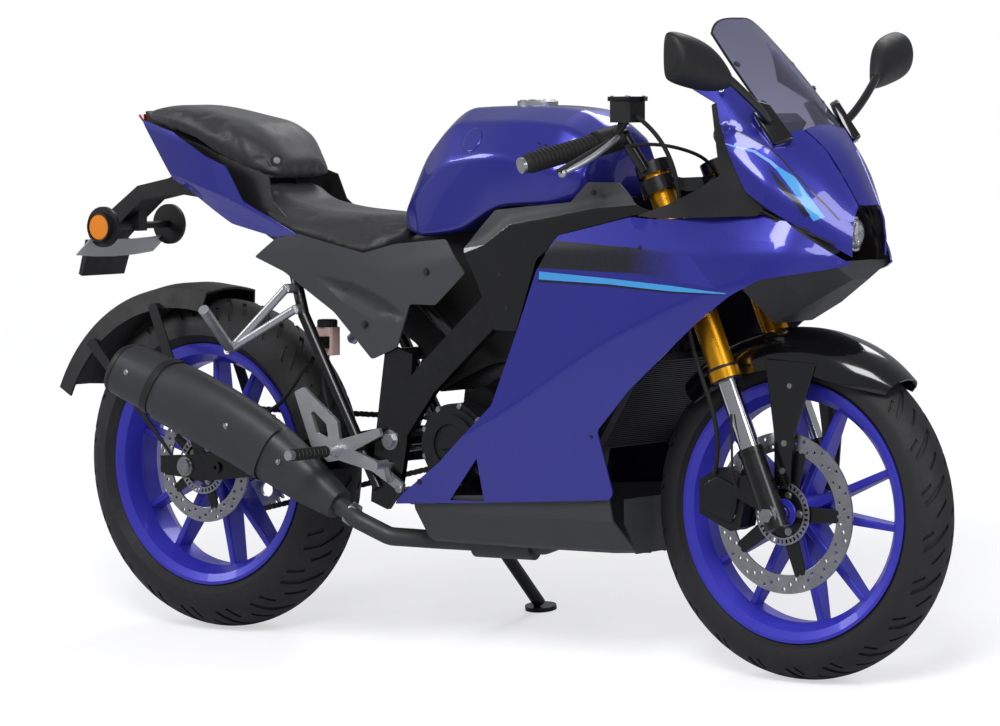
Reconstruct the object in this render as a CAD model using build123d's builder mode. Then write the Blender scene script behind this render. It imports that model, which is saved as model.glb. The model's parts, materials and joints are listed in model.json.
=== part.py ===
from build123d import *
from math import cos, hypot, radians, sin
import os

# A small fully faired sport motorcycle, parked on its side stand.
# Every piece is drawn on the upright bike: X runs forward from the rear axle, Y to the rider's
# left, Z up from the ground. The last lines lean the whole bike onto its stand.
# Lengths are millimetres and angles are degrees.

FIT = 0.3                # gap between pieces that seat on each other

# ---- Wheels and steering geometry
WHEELBASE = 1325
FRONT_TYRE_R = 297
REAR_TYRE_R = 314
FRONT_TYRE_W = 100
REAR_TYRE_W = 140
BEAD_R = 216             # radius of the seat that carries the tyre's bead
FLANGE_R = 230
FLANGE_T = 5
FRONT_RIM_W = 84
REAR_RIM_W = 116
RIM_WELL_R = 201         # bottom of the drop centre
RIM_WALL = 6
SPOKE_PAIRS = 5
SPOKE_SPREAD = 14.5      # half the angle between the tips of a pair
FRONT_SPOKES_AT = 8.6    # where a pair's middle line stands, up from straight ahead
REAR_SPOKES_AT = -66
RAKE = 23                # steering axis back from upright
TRAIL = 88
AXLE_R = 7.5
AXLE_GAP = 0.25          # hub on axle, all round
HUB_R = 34
TYRE_GAP = 0.3           # tyre to rim
LEAN = 10                # parked lean, towards the side stand

# ---- Fork
FORK_HALF = 100          # fork leg centre from the middle of the bike
FORK_UPPER_R = 24
FORK_INNER_R = 18.5
FORK_BOTTOM_R = 22
FORK_INNER_START = 118   # heights up the leg, measured from the front axle
FORK_UPPER_START = 250
FORK_TOP = 642
LOWER_CLAMP = 470
UPPER_CLAMP = 600
CLAMP_T = 26
STEM_R = 13
STEM_BORE_R = 8          # open at the foot of the stem, for a paddock stand's pin
STEM_BORE_DEPTH = 50
HEAD_BORE_R = STEM_R + 0.3
HEAD_TUBE_R = 27
HEAD_GAP = 3             # head tube ends to the two clamps
CLAMP_GAP = UPPER_CLAMP - LOWER_CLAMP - CLAMP_T     # open height between the clamps

# ---- Brakes, chain and axles
FRONT_DISC_R = 141
REAR_DISC_R = 110
DISC_T = 4.5
FRONT_DISC_Y = -64
REAR_DISC_Y = -62
CHAIN_Y = 86
CHAIN_PITCH = 12.7
CHAIN_H = 11
PLATE_T = 2
CHAIN_GAP = 9            # between the inner faces of the link plates
REAR_TEETH = 48
FRONT_TEETH = 14
PIVOT = (508, 390)       # swingarm pivot
OUTPUT_SHAFT = (592, 386)
ARM_INNER = 98           # swingarm's inner face from the middle
ARM_T = 20
SPOOL = (78, 316)        # threaded hole in each arm for a paddock stand's spool
SPOOL_R = 3.4            # drilled for an M8 thread

# ---- Bodywork
WALL = 4                 # thickness of a moulded panel
MIRROR_HALF = 366        # mirror's outer end from the middle
MUDGUARD_REACH = 368     # mudguard's tip behind the rear axle

# ---- Side stand
STAND_PIVOT = (522, 124, 224)
STAND_FOOT = (556, 262)  # where the foot stands, along and across
STAND_LEG_R = 12
FOOT_T = 8
FOOT_R = 26
EYE_R = 18
EYE_T = 24
LUG_T = 8
PIN_R = 6

FRONT_AXLE = Vector(WHEELBASE, 0, FRONT_TYRE_R)
REAR_AXLE = Vector(0, 0, REAR_TYRE_R)
STEER_UP = Vector(-sin(radians(RAKE)), 0, cos(radians(RAKE)))
STEER_AHEAD = Vector(cos(radians(RAKE)), 0, sin(radians(RAKE)))
FORK = Plane(origin=FRONT_AXLE, x_dir=STEER_AHEAD, z_dir=STEER_UP)
# How far the steering axis lies behind the front axle, measured square to the axis.
FORK_OFFSET = FRONT_TYRE_R * sin(radians(RAKE)) - TRAIL * cos(radians(RAKE))
LIFT = REAR_TYRE_W / 2 * (1 - cos(radians(LEAN)))   # the round crown rolls up a little

REAR_PITCH_R = CHAIN_PITCH / (2 * sin(radians(180 / REAR_TEETH)))
FRONT_PITCH_R = CHAIN_PITCH / (2 * sin(radians(180 / FRONT_TEETH)))

# The stand's foot lies flat on the ground, and its hinge is square to its leg.
tilt = radians(LEAN)
FLOOR_UP = Vector(0, -sin(tilt), cos(tilt))     # the ground's normal as the leaning bike sees it
FOOT = Vector(STAND_FOOT[0], STAND_FOOT[1], (STAND_FOOT[1] * sin(tilt) - LIFT) / cos(tilt))
HINGE = Vector(*STAND_PIVOT)
LEG = (FOOT + FLOOR_UP * FOOT_T) - HINGE
STAND_AXIS = LEG.cross(Vector(1, 0, 0)).normalized()

pieces = {}


def keep(name, *parts):
    """Hold a finished piece under its name."""
    pieces[name] = parts[0] if len(parts) == 1 else Compound(children=list(parts))


def side(y):
    """The upright plane along the bike at width y; it faces the right-hand side."""
    return Plane.XZ.offset(-y)


def band(hand, *widths):
    """Two widths drawn for the left hand, as the (near, far) pair of either hand."""
    return sorted((hand * width for width in widths), reverse=True)


def plate(points, near, far, radius=0, mode=Mode.ADD):
    """An outline of (x, z) points, drawn through the width from near to far."""
    with BuildSketch(side(near)) as face:
        with BuildLine():
            if radius:
                FilletPolyline(*points, radius=radius, close=True)
            else:
                Polyline(*points, close=True)
        make_face()
    extrude(face.sketch, amount=near - far, mode=mode)


def disc(x, z, radius, near, far, mode=Mode.ADD):
    """A cylinder across the bike from width near to width far."""
    with BuildSketch(side(near)) as face:
        with Locations((x, z)):
            Circle(radius)
    extrude(face.sketch, amount=near - far, mode=mode)


def tube(points, radius, bend=None):
    """A round tube along straight runs joined by tangent bends."""
    with BuildLine() as path:
        if bend:
            FilletPolyline(*points, radius=bend)
        else:
            Polyline(*points)
    with BuildSketch(Plane(origin=path.line @ 0, z_dir=path.line % 0)) as end:
        Circle(radius)
    sweep(end.sketch, path=path.line)


def rod(start, end, radius, mode=Mode.ADD):
    """A straight round bar between two points."""
    with BuildSketch(Plane(start, z_dir=(end - start).normalized())) as face:
        Circle(radius)
    extrude(face.sketch, amount=(end - start).length, mode=mode)


def inward(chain, wall):
    """A mitred copy of an open chain of (y, z) points, one wall to its left."""
    moved = []
    for i, (y, z) in enumerate(chain):
        before = chain[max(i - 1, 0)]
        after = chain[min(i + 1, len(chain) - 1)]
        d0 = Vector(y - before[0], z - before[1])
        d1 = Vector(after[0] - y, after[1] - z)
        d0 = (d0 if d0.length else d1).normalized()
        d1 = (d1 if d1.length else d0).normalized()
        n = Vector(-d0.Y - d1.Y, d0.X + d1.X).normalized()
        reach = wall / max(n.dot(Vector(-d0.Y, d0.X)), 0.5)
        moved.append((y + n.X * reach, z + n.Y * reach))
    return moved


def skin(stations, wall=WALL, both=False, mode=Mode.ADD):
    """A thin wall lofted through upright cross sections.

    A station is (x, chain), and its chain of (y, z) points runs from the top down the
    right-hand side. With both, the left-hand side mirrors it across the top.
    """
    sections = []
    for x, chain in stations:
        outer = list(chain)
        if both:
            outer = [(-y, z) for y, z in reversed(chain)] + outer
        with BuildSketch(Plane.YZ.offset(x)) as face:
            with BuildLine():
                Polyline(*outer, *reversed(inward(outer, wall)), close=True)
            make_face()
        sections.append(face.sketch)
    loft(sections, ruled=True, mode=mode)


def inner_face(stations, x, z):
    """Width just inside a ruled skin at height z: its outer face, less the wall and a fit."""
    for (x0, chain0), (x1, chain1) in zip(stations, stations[1:]):
        if x0 <= x <= x1:
            t = (x - x0) / (x1 - x0)
            chain = [(a[0] + (b[0] - a[0]) * t, a[1] + (b[1] - a[1]) * t) for a, b in zip(chain0, chain1)]
            for (y0, z0), (y1, z1) in zip(chain, chain[1:]):
                if z1 <= z <= z0:
                    slope = (y1 - y0) / (z1 - z0)
                    return y0 + slope * (z - z0) + (WALL + FIT) * hypot(1, slope)


def post(x, y, low, high, radius):
    """An upright round post on both sides of the bike."""
    with BuildSketch(Plane.XY.offset(low)) as foot:
        with Locations((x, y), (x, -y)):
            Circle(radius)
    extrude(foot.sketch, amount=high - low)


def body(stations, rounding=0, ruled=False):
    """A closed form lofted through mirrored cross sections, as a tank or a cushion."""
    sections = []
    for x, chain in stations:
        ring = [(-y, z) for y, z in reversed(chain)] + list(chain)
        with BuildSketch(Plane.YZ.offset(x)) as face:
            with BuildLine():
                Polyline(*ring, close=True)
            make_face()
            if rounding:
                fillet(face.vertices(), rounding)
        sections.append(face.sketch)
    loft(sections, ruled=ruled)


# ---- Wheels: a tyre of arcs and chords, and a cast rim with spokes
def tyre(axle, radius, width, rim_width):
    """Tyre turned about its axle; the crown is an arc, the shoulders are chords."""
    half = width / 2
    crown = radius - half
    bead = rim_width / 2 - FLANGE_T - TYRE_GAP
    arc_end, chord_end = radians(20), radians(55)

    def at(angle):
        return (half * sin(angle), crown + half * cos(angle))

    right = [at(chord_end), (half, crown), (bead, FLANGE_R + 1), (bead, BEAD_R + TYRE_GAP)]
    with BuildPart() as piece:
        with BuildSketch(Plane(origin=axle, x_dir=(0, 1, 0), z_dir=(1, 0, 0))):
            with BuildLine():
                ThreePointArc(at(-arc_end), (0, radius), at(arc_end))
                Polyline(at(arc_end), *right, *[(-y, r) for y, r in reversed(right)], at(-arc_end))
            make_face()
        revolve(axis=Axis(axle, (0, 1, 0)))
    return piece.part


def rim(axle, rim_width, hub_width, bore, first):
    """Cast rim: barrel with two flanges and a well, spokes in pairs and a bored hub."""
    half = rim_width / 2
    well = half * 0.4
    lip = half - FLANGE_T
    inner = [(half, FLANGE_R - RIM_WALL), (lip, BEAD_R - RIM_WALL), (well, RIM_WELL_R - RIM_WALL)]
    outer = [(half, FLANGE_R), (lip, FLANGE_R), (lip, BEAD_R), (well, RIM_WELL_R)]
    with BuildPart() as piece:
        with BuildSketch(Plane(origin=axle, x_dir=(0, 1, 0), z_dir=(1, 0, 0))):
            with BuildLine():
                Polyline(*outer, *[(-y, r) for y, r in reversed(outer)],
                         *[(-y, r) for y, r in inner], *reversed(inner), close=True)
            make_face()
        revolve(axis=Axis(axle, (0, 1, 0)))
        for i in range(SPOKE_PAIRS):
            for way in (1, -1):
                middle = first + 360 / SPOKE_PAIRS * i
                ends = ((middle + way * 12, HUB_R - 8), (middle + way * SPOKE_SPREAD, RIM_WELL_R - 2))
                root, tip = [axle + Vector(cos(radians(a)), 0, sin(radians(a))) * r for a, r in ends]
                along = (tip - root).normalized()
                with BuildSketch(Plane(origin=root, x_dir=(0, 1, 0), z_dir=along)) as thick:
                    RectangleRounded(hub_width * 0.55, 17, 5)
                with BuildSketch(Plane(origin=tip, x_dir=(0, 1, 0), z_dir=along)) as thin:
                    RectangleRounded(well * 1.7, 13, 4)
                loft([thick.sketch, thin.sketch], ruled=True)
        disc(axle.X, axle.Z, HUB_R, hub_width / 2, -hub_width / 2)
        disc(axle.X, axle.Z, bore, hub_width / 2 + 1, -hub_width / 2 - 1, Mode.SUBTRACT)
    return piece.part


FRONT_HUB_W = 112
REAR_HUB_W = 112
HUB_BORE = AXLE_R + AXLE_GAP
keep("front_tyre", tyre(FRONT_AXLE, FRONT_TYRE_R, FRONT_TYRE_W, FRONT_RIM_W))
keep("rear_tyre", tyre(REAR_AXLE, REAR_TYRE_R, REAR_TYRE_W, REAR_RIM_W))
keep("front_rim", rim(FRONT_AXLE, FRONT_RIM_W, FRONT_HUB_W, HUB_BORE, FRONT_SPOKES_AT))
keep("rear_rim", rim(REAR_AXLE, REAR_RIM_W, REAR_HUB_W, HUB_BORE, REAR_SPOKES_AT))


def brake_disc(axle, radius, y, hub_face):
    """Flat disc ring on a spider that bolts to the hub's end."""
    with BuildPart() as piece:
        disc(axle.X, axle.Z, radius, y + DISC_T / 2, y - DISC_T / 2)
        disc(axle.X, axle.Z, radius - 34, y + DISC_T, y - DISC_T, Mode.SUBTRACT)
        for i in range(5):
            turn = radians(72 * i + 90)
            ahead = Vector(cos(turn), 0, sin(turn))
            foot = axle + ahead * 24 + Vector(0, y, 0)
            with BuildSketch(Plane(origin=foot, x_dir=(0, 1, 0), z_dir=ahead)) as arm:
                Rectangle(DISC_T, 22)
            extrude(arm.sketch, amount=radius - 24 - 30)
        disc(axle.X, axle.Z, HUB_R, hub_face, y - DISC_T / 2)
        disc(axle.X, axle.Z, AXLE_R + 6, hub_face + 1, y - 2 * DISC_T, Mode.SUBTRACT)
    return piece.part


keep("front_disc", brake_disc(FRONT_AXLE, FRONT_DISC_R, FRONT_DISC_Y, -FRONT_HUB_W / 2 - 0.3))
keep("rear_disc", brake_disc(REAR_AXLE, REAR_DISC_R, REAR_DISC_Y, -REAR_HUB_W / 2 - 0.3))

# ---- Axles
FRONT_AXLE_HALF = 112
REAR_AXLE_HALF = 122
with BuildPart() as front_axle:
    disc(FRONT_AXLE.X, FRONT_AXLE.Z, AXLE_R, FRONT_AXLE_HALF, -FRONT_AXLE_HALF)
    for end in (1, -1):
        near, far = band(end, FRONT_HUB_W / 2 + 14, FORK_HALF - FORK_BOTTOM_R - FIT)
        disc(FRONT_AXLE.X, FRONT_AXLE.Z, AXLE_R + 5, near, far)
keep("front_axle", front_axle.part)
with BuildPart() as rear_axle:
    disc(REAR_AXLE.X, REAR_AXLE.Z, AXLE_R, REAR_AXLE_HALF, -REAR_AXLE_HALF)
    disc(REAR_AXLE.X, REAR_AXLE.Z, AXLE_R + 7, ARM_INNER + ARM_T + 8, ARM_INNER + ARM_T + 0.3)
    disc(REAR_AXLE.X, REAR_AXLE.Z, AXLE_R + 7, -ARM_INNER - ARM_T - 0.3, -ARM_INNER - ARM_T - 8)
keep("rear_axle", rear_axle.part)

# ---- Fork: bottoms, polished inner tubes, gold uppers, two clamps and the stem
LEGS = ((0, FORK_HALF), (0, -FORK_HALF))
CALIPER_FACE = FRONT_DISC_Y - 30     # outer face of the front caliper


def leg(start, end, radius, mode=Mode.ADD):
    """Both fork legs between two heights above the axle."""
    with BuildSketch(FORK.offset(start)) as face:
        with Locations(*LEGS):
            Circle(radius)
    extrude(face.sketch, amount=end - start, mode=mode)


with BuildPart() as fork_bottoms:
    leg(-26, FORK_INNER_START, FORK_BOTTOM_R)
    plate([(1306, 300), (1300, 372), (1246, 356), (1246, 326)], CALIPER_FACE - FIT, -FORK_HALF - 6)
    leg(FORK_INNER_START - 20, FORK_INNER_START + 1, FORK_INNER_R + 0.2, Mode.SUBTRACT)
    disc(FRONT_AXLE.X, FRONT_AXLE.Z, AXLE_R + 0.2, 140, -140, Mode.SUBTRACT)
keep("fork_bottoms", fork_bottoms.part)

with BuildPart() as fork_inners:
    leg(FORK_INNER_START - 19.7, FORK_UPPER_START + 40, FORK_INNER_R)
keep("fork_inner_tubes", fork_inners.part)

with BuildPart() as fork_uppers:
    leg(FORK_UPPER_START, FORK_TOP, FORK_UPPER_R)
    leg(FORK_UPPER_START, FORK_UPPER_START + 22, FORK_UPPER_R + 4)
    with BuildSketch(FORK.offset(FORK_TOP)) as caps:
        with Locations(*LEGS):
            RegularPolygon(FORK_UPPER_R - 8, 6)
    extrude(caps.sketch, amount=7)
    leg(FORK_UPPER_START - 1, FORK_UPPER_START + 41, FORK_INNER_R + 0.2, Mode.SUBTRACT)
keep("fork_uppers", fork_uppers.part)

with BuildPart() as triple_clamps:
    for height in (LOWER_CLAMP, UPPER_CLAMP):
        with BuildSketch(FORK.offset(height)) as clamp:
            with Locations(*LEGS):
                Circle(FORK_UPPER_R + 10)
            with Locations((-FORK_OFFSET, 0)):
                Circle(HEAD_TUBE_R)
            with BuildLine():
                Polyline((FORK_UPPER_R, FORK_HALF), (-FORK_UPPER_R, FORK_HALF), (-FORK_OFFSET - 26, 20),
                         (-FORK_OFFSET - 26, -20), (-FORK_UPPER_R, -FORK_HALF), (FORK_UPPER_R, -FORK_HALF),
                         (4, -30), (4, 30), close=True)
            make_face()
            with Locations(*LEGS):
                Circle(FORK_UPPER_R + 0.2, mode=Mode.SUBTRACT)
        extrude(clamp.sketch, amount=CLAMP_T)
    with BuildSketch(FORK.offset(LOWER_CLAMP)) as stem:
        with Locations((-FORK_OFFSET, 0)):
            Circle(STEM_R)
    extrude(stem.sketch, amount=UPPER_CLAMP + CLAMP_T + 8 - LOWER_CLAMP)
    with BuildSketch(FORK.offset(UPPER_CLAMP + CLAMP_T)) as nut:
        with Locations((-FORK_OFFSET, 0)):
            RegularPolygon(STEM_R + 5, 6)
    extrude(nut.sketch, amount=8)
    with BuildSketch(FORK.offset(LOWER_CLAMP)) as bore:
        with Locations((-FORK_OFFSET, 0)):
            Circle(STEM_BORE_R)
    extrude(bore.sketch, amount=STEM_BORE_DEPTH, mode=Mode.SUBTRACT)
keep("triple_clamps", triple_clamps.part)

# ---- Handlebars, grips, switch gear and levers
BAR_R = 11
GRIP_R = 17
CLIP_UP = UPPER_CLAMP + CLAMP_T + 8      # clip-on height up the fork leg
CLIP_T = 22
GRIP_IN = Vector(1026, 205, 937)
GRIP_OUT = Vector(970, 332, 904)
GRIP_RUN = (GRIP_OUT - GRIP_IN).normalized()


def hand_side(v, hand):
    """A left-hand point, or its mirror image on the right-hand side."""
    return Vector(v.X, v.Y * hand, v.Z)


CLIP = FORK.from_local_coords((0, FORK_HALF, CLIP_UP + CLIP_T / 2))
with BuildPart() as handlebars:
    with BuildSketch(FORK.offset(CLIP_UP)) as ring:
        with Locations(*LEGS):
            Circle(FORK_UPPER_R + 8)
        with Locations(*LEGS):
            Circle(FORK_UPPER_R + FIT, mode=Mode.SUBTRACT)
    extrude(ring.sketch, amount=CLIP_T)
    for hand in (1, -1):
        start = CLIP + Vector(0, FORK_UPPER_R + 4, 0)
        elbow = GRIP_IN - GRIP_RUN * 56
        rod(hand_side(start, hand), hand_side(elbow, hand), BAR_R)
        rod(hand_side(elbow - GRIP_RUN * 6, hand), hand_side(GRIP_OUT, hand), BAR_R)
keep("handlebars", handlebars.part)

with BuildPart() as grips:
    for hand in (1, -1):
        with BuildSketch(Plane(hand_side(GRIP_IN, hand), z_dir=hand_side(GRIP_RUN, hand))) as face:
            Circle(GRIP_R)
            Circle(BAR_R + FIT, mode=Mode.SUBTRACT)
        extrude(face.sketch, amount=(GRIP_OUT - GRIP_IN).length)
        end = hand_side(GRIP_OUT + GRIP_RUN * FIT, hand)
        with BuildSketch(Plane(end, z_dir=hand_side(GRIP_RUN, hand))) as cap:
            Circle(GRIP_R)
        extrude(cap.sketch, amount=14, taper=20)
keep("grips", grips.part)

with BuildPart() as hand_controls:
    for hand in (1, -1):
        inner = GRIP_IN - GRIP_RUN * 44
        with BuildSketch(Plane(hand_side(inner, hand), z_dir=hand_side(GRIP_RUN, hand))) as face:
            Circle(GRIP_R + 6)
            Circle(BAR_R + FIT, mode=Mode.SUBTRACT)
        extrude(face.sketch, amount=43)
        perch = GRIP_IN - GRIP_RUN * 20 + Vector(GRIP_R + 4, 0, 6)
        tip = GRIP_OUT + Vector(58, -12, -14)
        rod(hand_side(perch, hand), hand_side(tip, hand), 6)
    with BuildSketch(Plane(hand_side(GRIP_IN - GRIP_RUN * 30, -1) + Vector(34, 0, 30))) as cup:
        RectangleRounded(44, 52, 6)
    extrude(cup.sketch, amount=38)
    rod(hand_side(GRIP_IN - GRIP_RUN * 24, -1) + Vector(16, 0, 12),
        hand_side(GRIP_IN - GRIP_RUN * 30, -1) + Vector(30, 0, 34), 8)
keep("hand_controls", hand_controls.part)

# ---- Front fender: a curved shell over the tyre with a stay down to each fork bottom
FENDER_R = FRONT_TYRE_R + 16
FENDER_HALF = 72
with BuildPart() as front_fender:
    with BuildSketch(Plane(origin=FRONT_AXLE, x_dir=(0, 1, 0), z_dir=(1, 0, 0))) as face:
        arch = [(FENDER_HALF, FENDER_R - 66), (FENDER_HALF, FENDER_R - 34), (FENDER_HALF - 22, FENDER_R - 6),
                (16, FENDER_R + 4)]
        with BuildLine():
            outer = arch + [(-y, r) for y, r in reversed(arch)]
            Polyline(*outer, *reversed(inward(outer, WALL)), close=True)
        make_face()
    revolve(face.sketch, axis=Axis(FRONT_AXLE, (0, 1, 0)), revolution_arc=42)
    revolve(face.sketch, axis=Axis(FRONT_AXLE, (0, -1, 0)), revolution_arc=46)
    for hand in (1, -1):
        near, far = band(hand, FENDER_HALF, (FORK_HALF - FORK_BOTTOM_R - FIT))
        plate([(1300, 560), (1395, 560), (1345, 345), (1312, 345)], near, far)
keep("front_fender", front_fender.part)

with BuildPart() as front_caliper:
    plate([(1166, 350), (1206, 372), (1268, 352), (1252, 270), (1232, 262), (1166, 290)],
          FRONT_DISC_Y + DISC_T / 2 + 16, CALIPER_FACE)
    disc(FRONT_AXLE.X, FRONT_AXLE.Z, FRONT_DISC_R + 2, FRONT_DISC_Y + DISC_T / 2 + 1.5,
         FRONT_DISC_Y - DISC_T / 2 - 1.5, Mode.SUBTRACT)
keep("front_caliper", front_caliper.part)

# ---- Frame: head tube, spars, pivot plates and lower stays; the seat rails bolt on behind
PLATE_Y = 122            # pivot plate's inner face from the middle
LOWER_TUBE = (484, 285)
CUP_Y = -86              # brake fluid cup, from the middle
CUP_W = 32
STAY_R = 11
STAY_Y = 133
TUBE_R = 12
SHOCK_TOP = (512, 545)   # cross tube that carries the shock absorber
ARM_TUBE = (PIVOT[0] - 96, PIVOT[1] - 22)
ARM_TUBE_R = 17
CROSS_R = 12
HEAD_MIDDLE = FORK.from_local_coords((-FORK_OFFSET, 0, LOWER_CLAMP + CLAMP_T + CLAMP_GAP / 2))
# each spar section: x, centre width, centre height, thickness, depth
SPAR = ((HEAD_MIDDLE.X - 11, 26, HEAD_MIDDLE.Z - 10, 24, CLAMP_GAP * 0.6),
        (960, 100, 745, 26, 96),
        (760, 130, 650, 20, 78),
        (610, PLATE_Y + 6, 520, 14, 78),
        (520, PLATE_Y + 6, 420, 12, 110))


def spar_at(x):
    """Centre width, centre height, thickness and depth of the spar at x."""
    for front, rear in zip(SPAR, SPAR[1:]):
        if rear[0] <= x <= front[0]:
            t = (x - rear[0]) / (front[0] - rear[0])
            return [r + (f - r) * t for f, r in zip(front[1:], rear[1:])]


RAIL_START = 650
RAIL = (Vector(RAIL_START, spar_at(RAIL_START)[0] - spar_at(RAIL_START)[2] / 2 - TUBE_R - FIT, 570),
        Vector(560, 100, 640), Vector(430, 92, 690), Vector(230, 88, 742), Vector(6, 59, 848))
STAY = (Vector(480, STAY_Y, 300), Vector(300, STAY_Y - 5, 612), Vector(238, 92, 728))

with BuildPart() as main_frame:
    with BuildSketch(FORK.offset(LOWER_CLAMP + CLAMP_T + HEAD_GAP)) as head:
        with Locations((-FORK_OFFSET, 0)):
            Circle(HEAD_TUBE_R)
    extrude(head.sketch, amount=UPPER_CLAMP - LOWER_CLAMP - CLAMP_T - 2 * HEAD_GAP)
    for hand in (1, -1):
        sections = []
        for x, y, z, w, h in SPAR:
            with BuildSketch(Plane.YZ.offset(x)) as face:
                with Locations((hand * y, z)):
                    Rectangle(w, h)
            sections.append(face.sketch)
        loft(sections, ruled=True)
        near, far = band(hand, PLATE_Y, (PLATE_Y + 12))
        plate([(560, 548), (498, 566), (484, 470), (474, 400), (462, 275), (500, 262), (530, 300),
               (545, 380)], near, far)
        near, far = band(hand, 75.3, 112)
        disc(838, 566, 13, near, far)
        near, far = band(hand, 104, 118)
        plate([(800, 662), (862, 690), (852, 560), (828, 552)], near, far)
        tube([hand_side(v, hand) for v in STAY], STAY_R)
        rod(hand_side(RAIL[3], hand), hand_side(RAIL[2], hand), TUBE_R + FIT, Mode.SUBTRACT)
    disc(*PIVOT, 14, PLATE_Y + 2, -PLATE_Y - 2)
    disc(*LOWER_TUBE, CROSS_R, PLATE_Y + 2, -PLATE_Y - 2)
    disc(*SHOCK_TOP, CROSS_R, PLATE_Y + 2, -PLATE_Y - 2)
    # tab for the brake fluid cup
    plate([(320, 550), (340, 550), (340, 572), (320, 572)], CUP_Y - CUP_W / 2 - FIT, -STAY_Y + 10)
    # side stand lug: a block under the left pivot plate, an ear above the stand's eye and its pin
    plate([(500, 262), (546, 262), (546, 308), (500, 300)], PLATE_Y + 12, ARM_INNER + 8)
    above = HINGE - STAND_AXIS * (EYE_T / 2 + FIT + LUG_T)
    with BuildSketch(Plane(above, x_dir=(1, 0, 0), z_dir=STAND_AXIS)) as ear:
        Circle(EYE_R)
        with Locations((0, 24)):
            Rectangle(2 * EYE_R, 48)
    extrude(ear.sketch, amount=LUG_T)
    rod(HINGE - STAND_AXIS * (EYE_T / 2 + LUG_T), HINGE + STAND_AXIS * (EYE_T / 2 + 5), PIN_R)
    with BuildSketch(FORK.offset(LOWER_CLAMP)) as bore:
        with Locations((-FORK_OFFSET, 0)):
            Circle(HEAD_BORE_R)
    extrude(bore.sketch, amount=UPPER_CLAMP - LOWER_CLAMP + CLAMP_T, mode=Mode.SUBTRACT)
keep("main_frame", main_frame.part)

with BuildPart() as subframe:
    for hand in (1, -1):
        tube([hand_side(v, hand) for v in RAIL], TUBE_R)
    for x, y, z in ((430, 92, 690), (235, 88, 740), (30, 60, 838)):
        disc(x, z, TUBE_R - 1, y, -y)
keep("subframe", subframe.part)



def rail_at(x):
    """Centre of the seat rail at x, on the left."""
    for front, rear in zip(RAIL, RAIL[1:]):
        if rear.X <= x <= front.X:
            return rear + (front - rear) * ((x - rear.X) / (front.X - rear.X))


# ---- Engine: crankcase, forward-leaning cylinder and head, round covers on both sides
CLUTCH = (658, 389)
HEAD_L = 138             # depth of the cylinder head, front to back
BARREL = Plane(origin=(770, 0, 400), x_dir=(0, 1, 0), z_dir=(0.42, 0, 0.908))
with BuildPart() as engine:
    plate([(556, 268), (640, 246), (780, 240), (850, 272), (862, 352), (800, 420), (600, 452),
           (556, 400)], 66, -80)
    plate([(586, 290), (640, 262), (770, 258), (828, 286), (840, 350), (780, 408), (640, 440),
           (590, 400)], -80, -96)
    foot = LOWER_TUBE[0] + CROSS_R + FIT
    plate([(foot, 276), (560, 272), (560, 310), (foot, 296)], 50, -70)
    # low, high, width and depth of the barrel's steps: barrel, joint, head, cam cover
    for low, high, across, along in ((0, 92, 128, 128), (92, 100, 150, 150), (100, 172, 142, HEAD_L),
                                     (172, 215, 124, 104)):
        with BuildSketch(BARREL.offset(low)) as step:
            RectangleRounded(across, along, 14)
        extrude(step.sketch, amount=high - low)
    for i in range(4):
        with BuildSketch(BARREL.offset(24 + 17 * i)) as fin:
            RectangleRounded(140, 140, 14)
        extrude(fin.sketch, amount=5)
    # clutch cover: a domed lid with a ring and a sunk middle crossed by a bar
    disc(*CLUTCH, 74, -96, -138)
    disc(*CLUTCH, 66, -138, -144)
    disc(*CLUTCH, 54, -144, -150)
    disc(*CLUTCH, 38, -146, -151, Mode.SUBTRACT)
    bar = ((-26, -9), (26, -3), (26, 8), (-26, 2))
    plate([(CLUTCH[0] + x, CLUTCH[1] + z) for x, z in bar], -146, -150)
    disc(772, 322, 34, -96, -122)
    disc(772, 322, 20, -122, -130)
    disc(598, 330, 20, -96, -118)
    # left side: generator cover, sprocket shaft
    disc(702, 350, 64, 122, 60)
    disc(702, 350, 44, 128, 122)
    disc(*OUTPUT_SHAFT, 12, CHAIN_Y + 9, 60)
    disc(*OUTPUT_SHAFT, FRONT_PITCH_R - 5, CHAIN_Y + CHAIN_GAP / 2 - FIT, CHAIN_Y - CHAIN_GAP / 2 + FIT)
    # starter motor on top of the cases
    disc(668, 462, 27, 44, -66)
keep("engine", engine.part)

RADIATOR_HANGER = SPAR[1][0] + 40     # where its two hangers reach the spars
RADIATOR = Plane(origin=(1010, 0, 470), x_dir=(0, 1, 0), z_dir=(-0.85, 0, 0.527))    # faces back and up
CORE_W = 206
CORE_H = 186
CORE_T = 20
TANK_W = 22              # a side tank of the radiator
FAN_R = 76
with BuildPart() as radiator:
    with BuildSketch(RADIATOR.offset(3)) as core:
        Rectangle(CORE_W + 2, CORE_H)
    extrude(core.sketch, amount=CORE_T)
    with BuildSketch(RADIATOR) as tanks:
        with Locations((CORE_W / 2 + TANK_W / 2, 0), (-CORE_W / 2 - TANK_W / 2, 0)):
            RectangleRounded(TANK_W, CORE_H + 6, 5)
    extrude(tanks.sketch, amount=CORE_T + 6)
    with BuildSketch(RADIATOR.offset(3 + CORE_T)) as fan:
        Circle(FAN_R)
        Circle(FAN_R - 6, mode=Mode.SUBTRACT)
        Circle(22)
        with PolarLocations(FAN_R / 2 + 8, 5):
            Rectangle(FAN_R - 20, 10)
    extrude(fan.sketch, amount=15)
    y, z, _, h = spar_at(RADIATOR_HANGER)
    post(RADIATOR_HANGER, y, 500, z - h / 2 - 3.2, 6)
keep("radiator", radiator.part)

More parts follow.
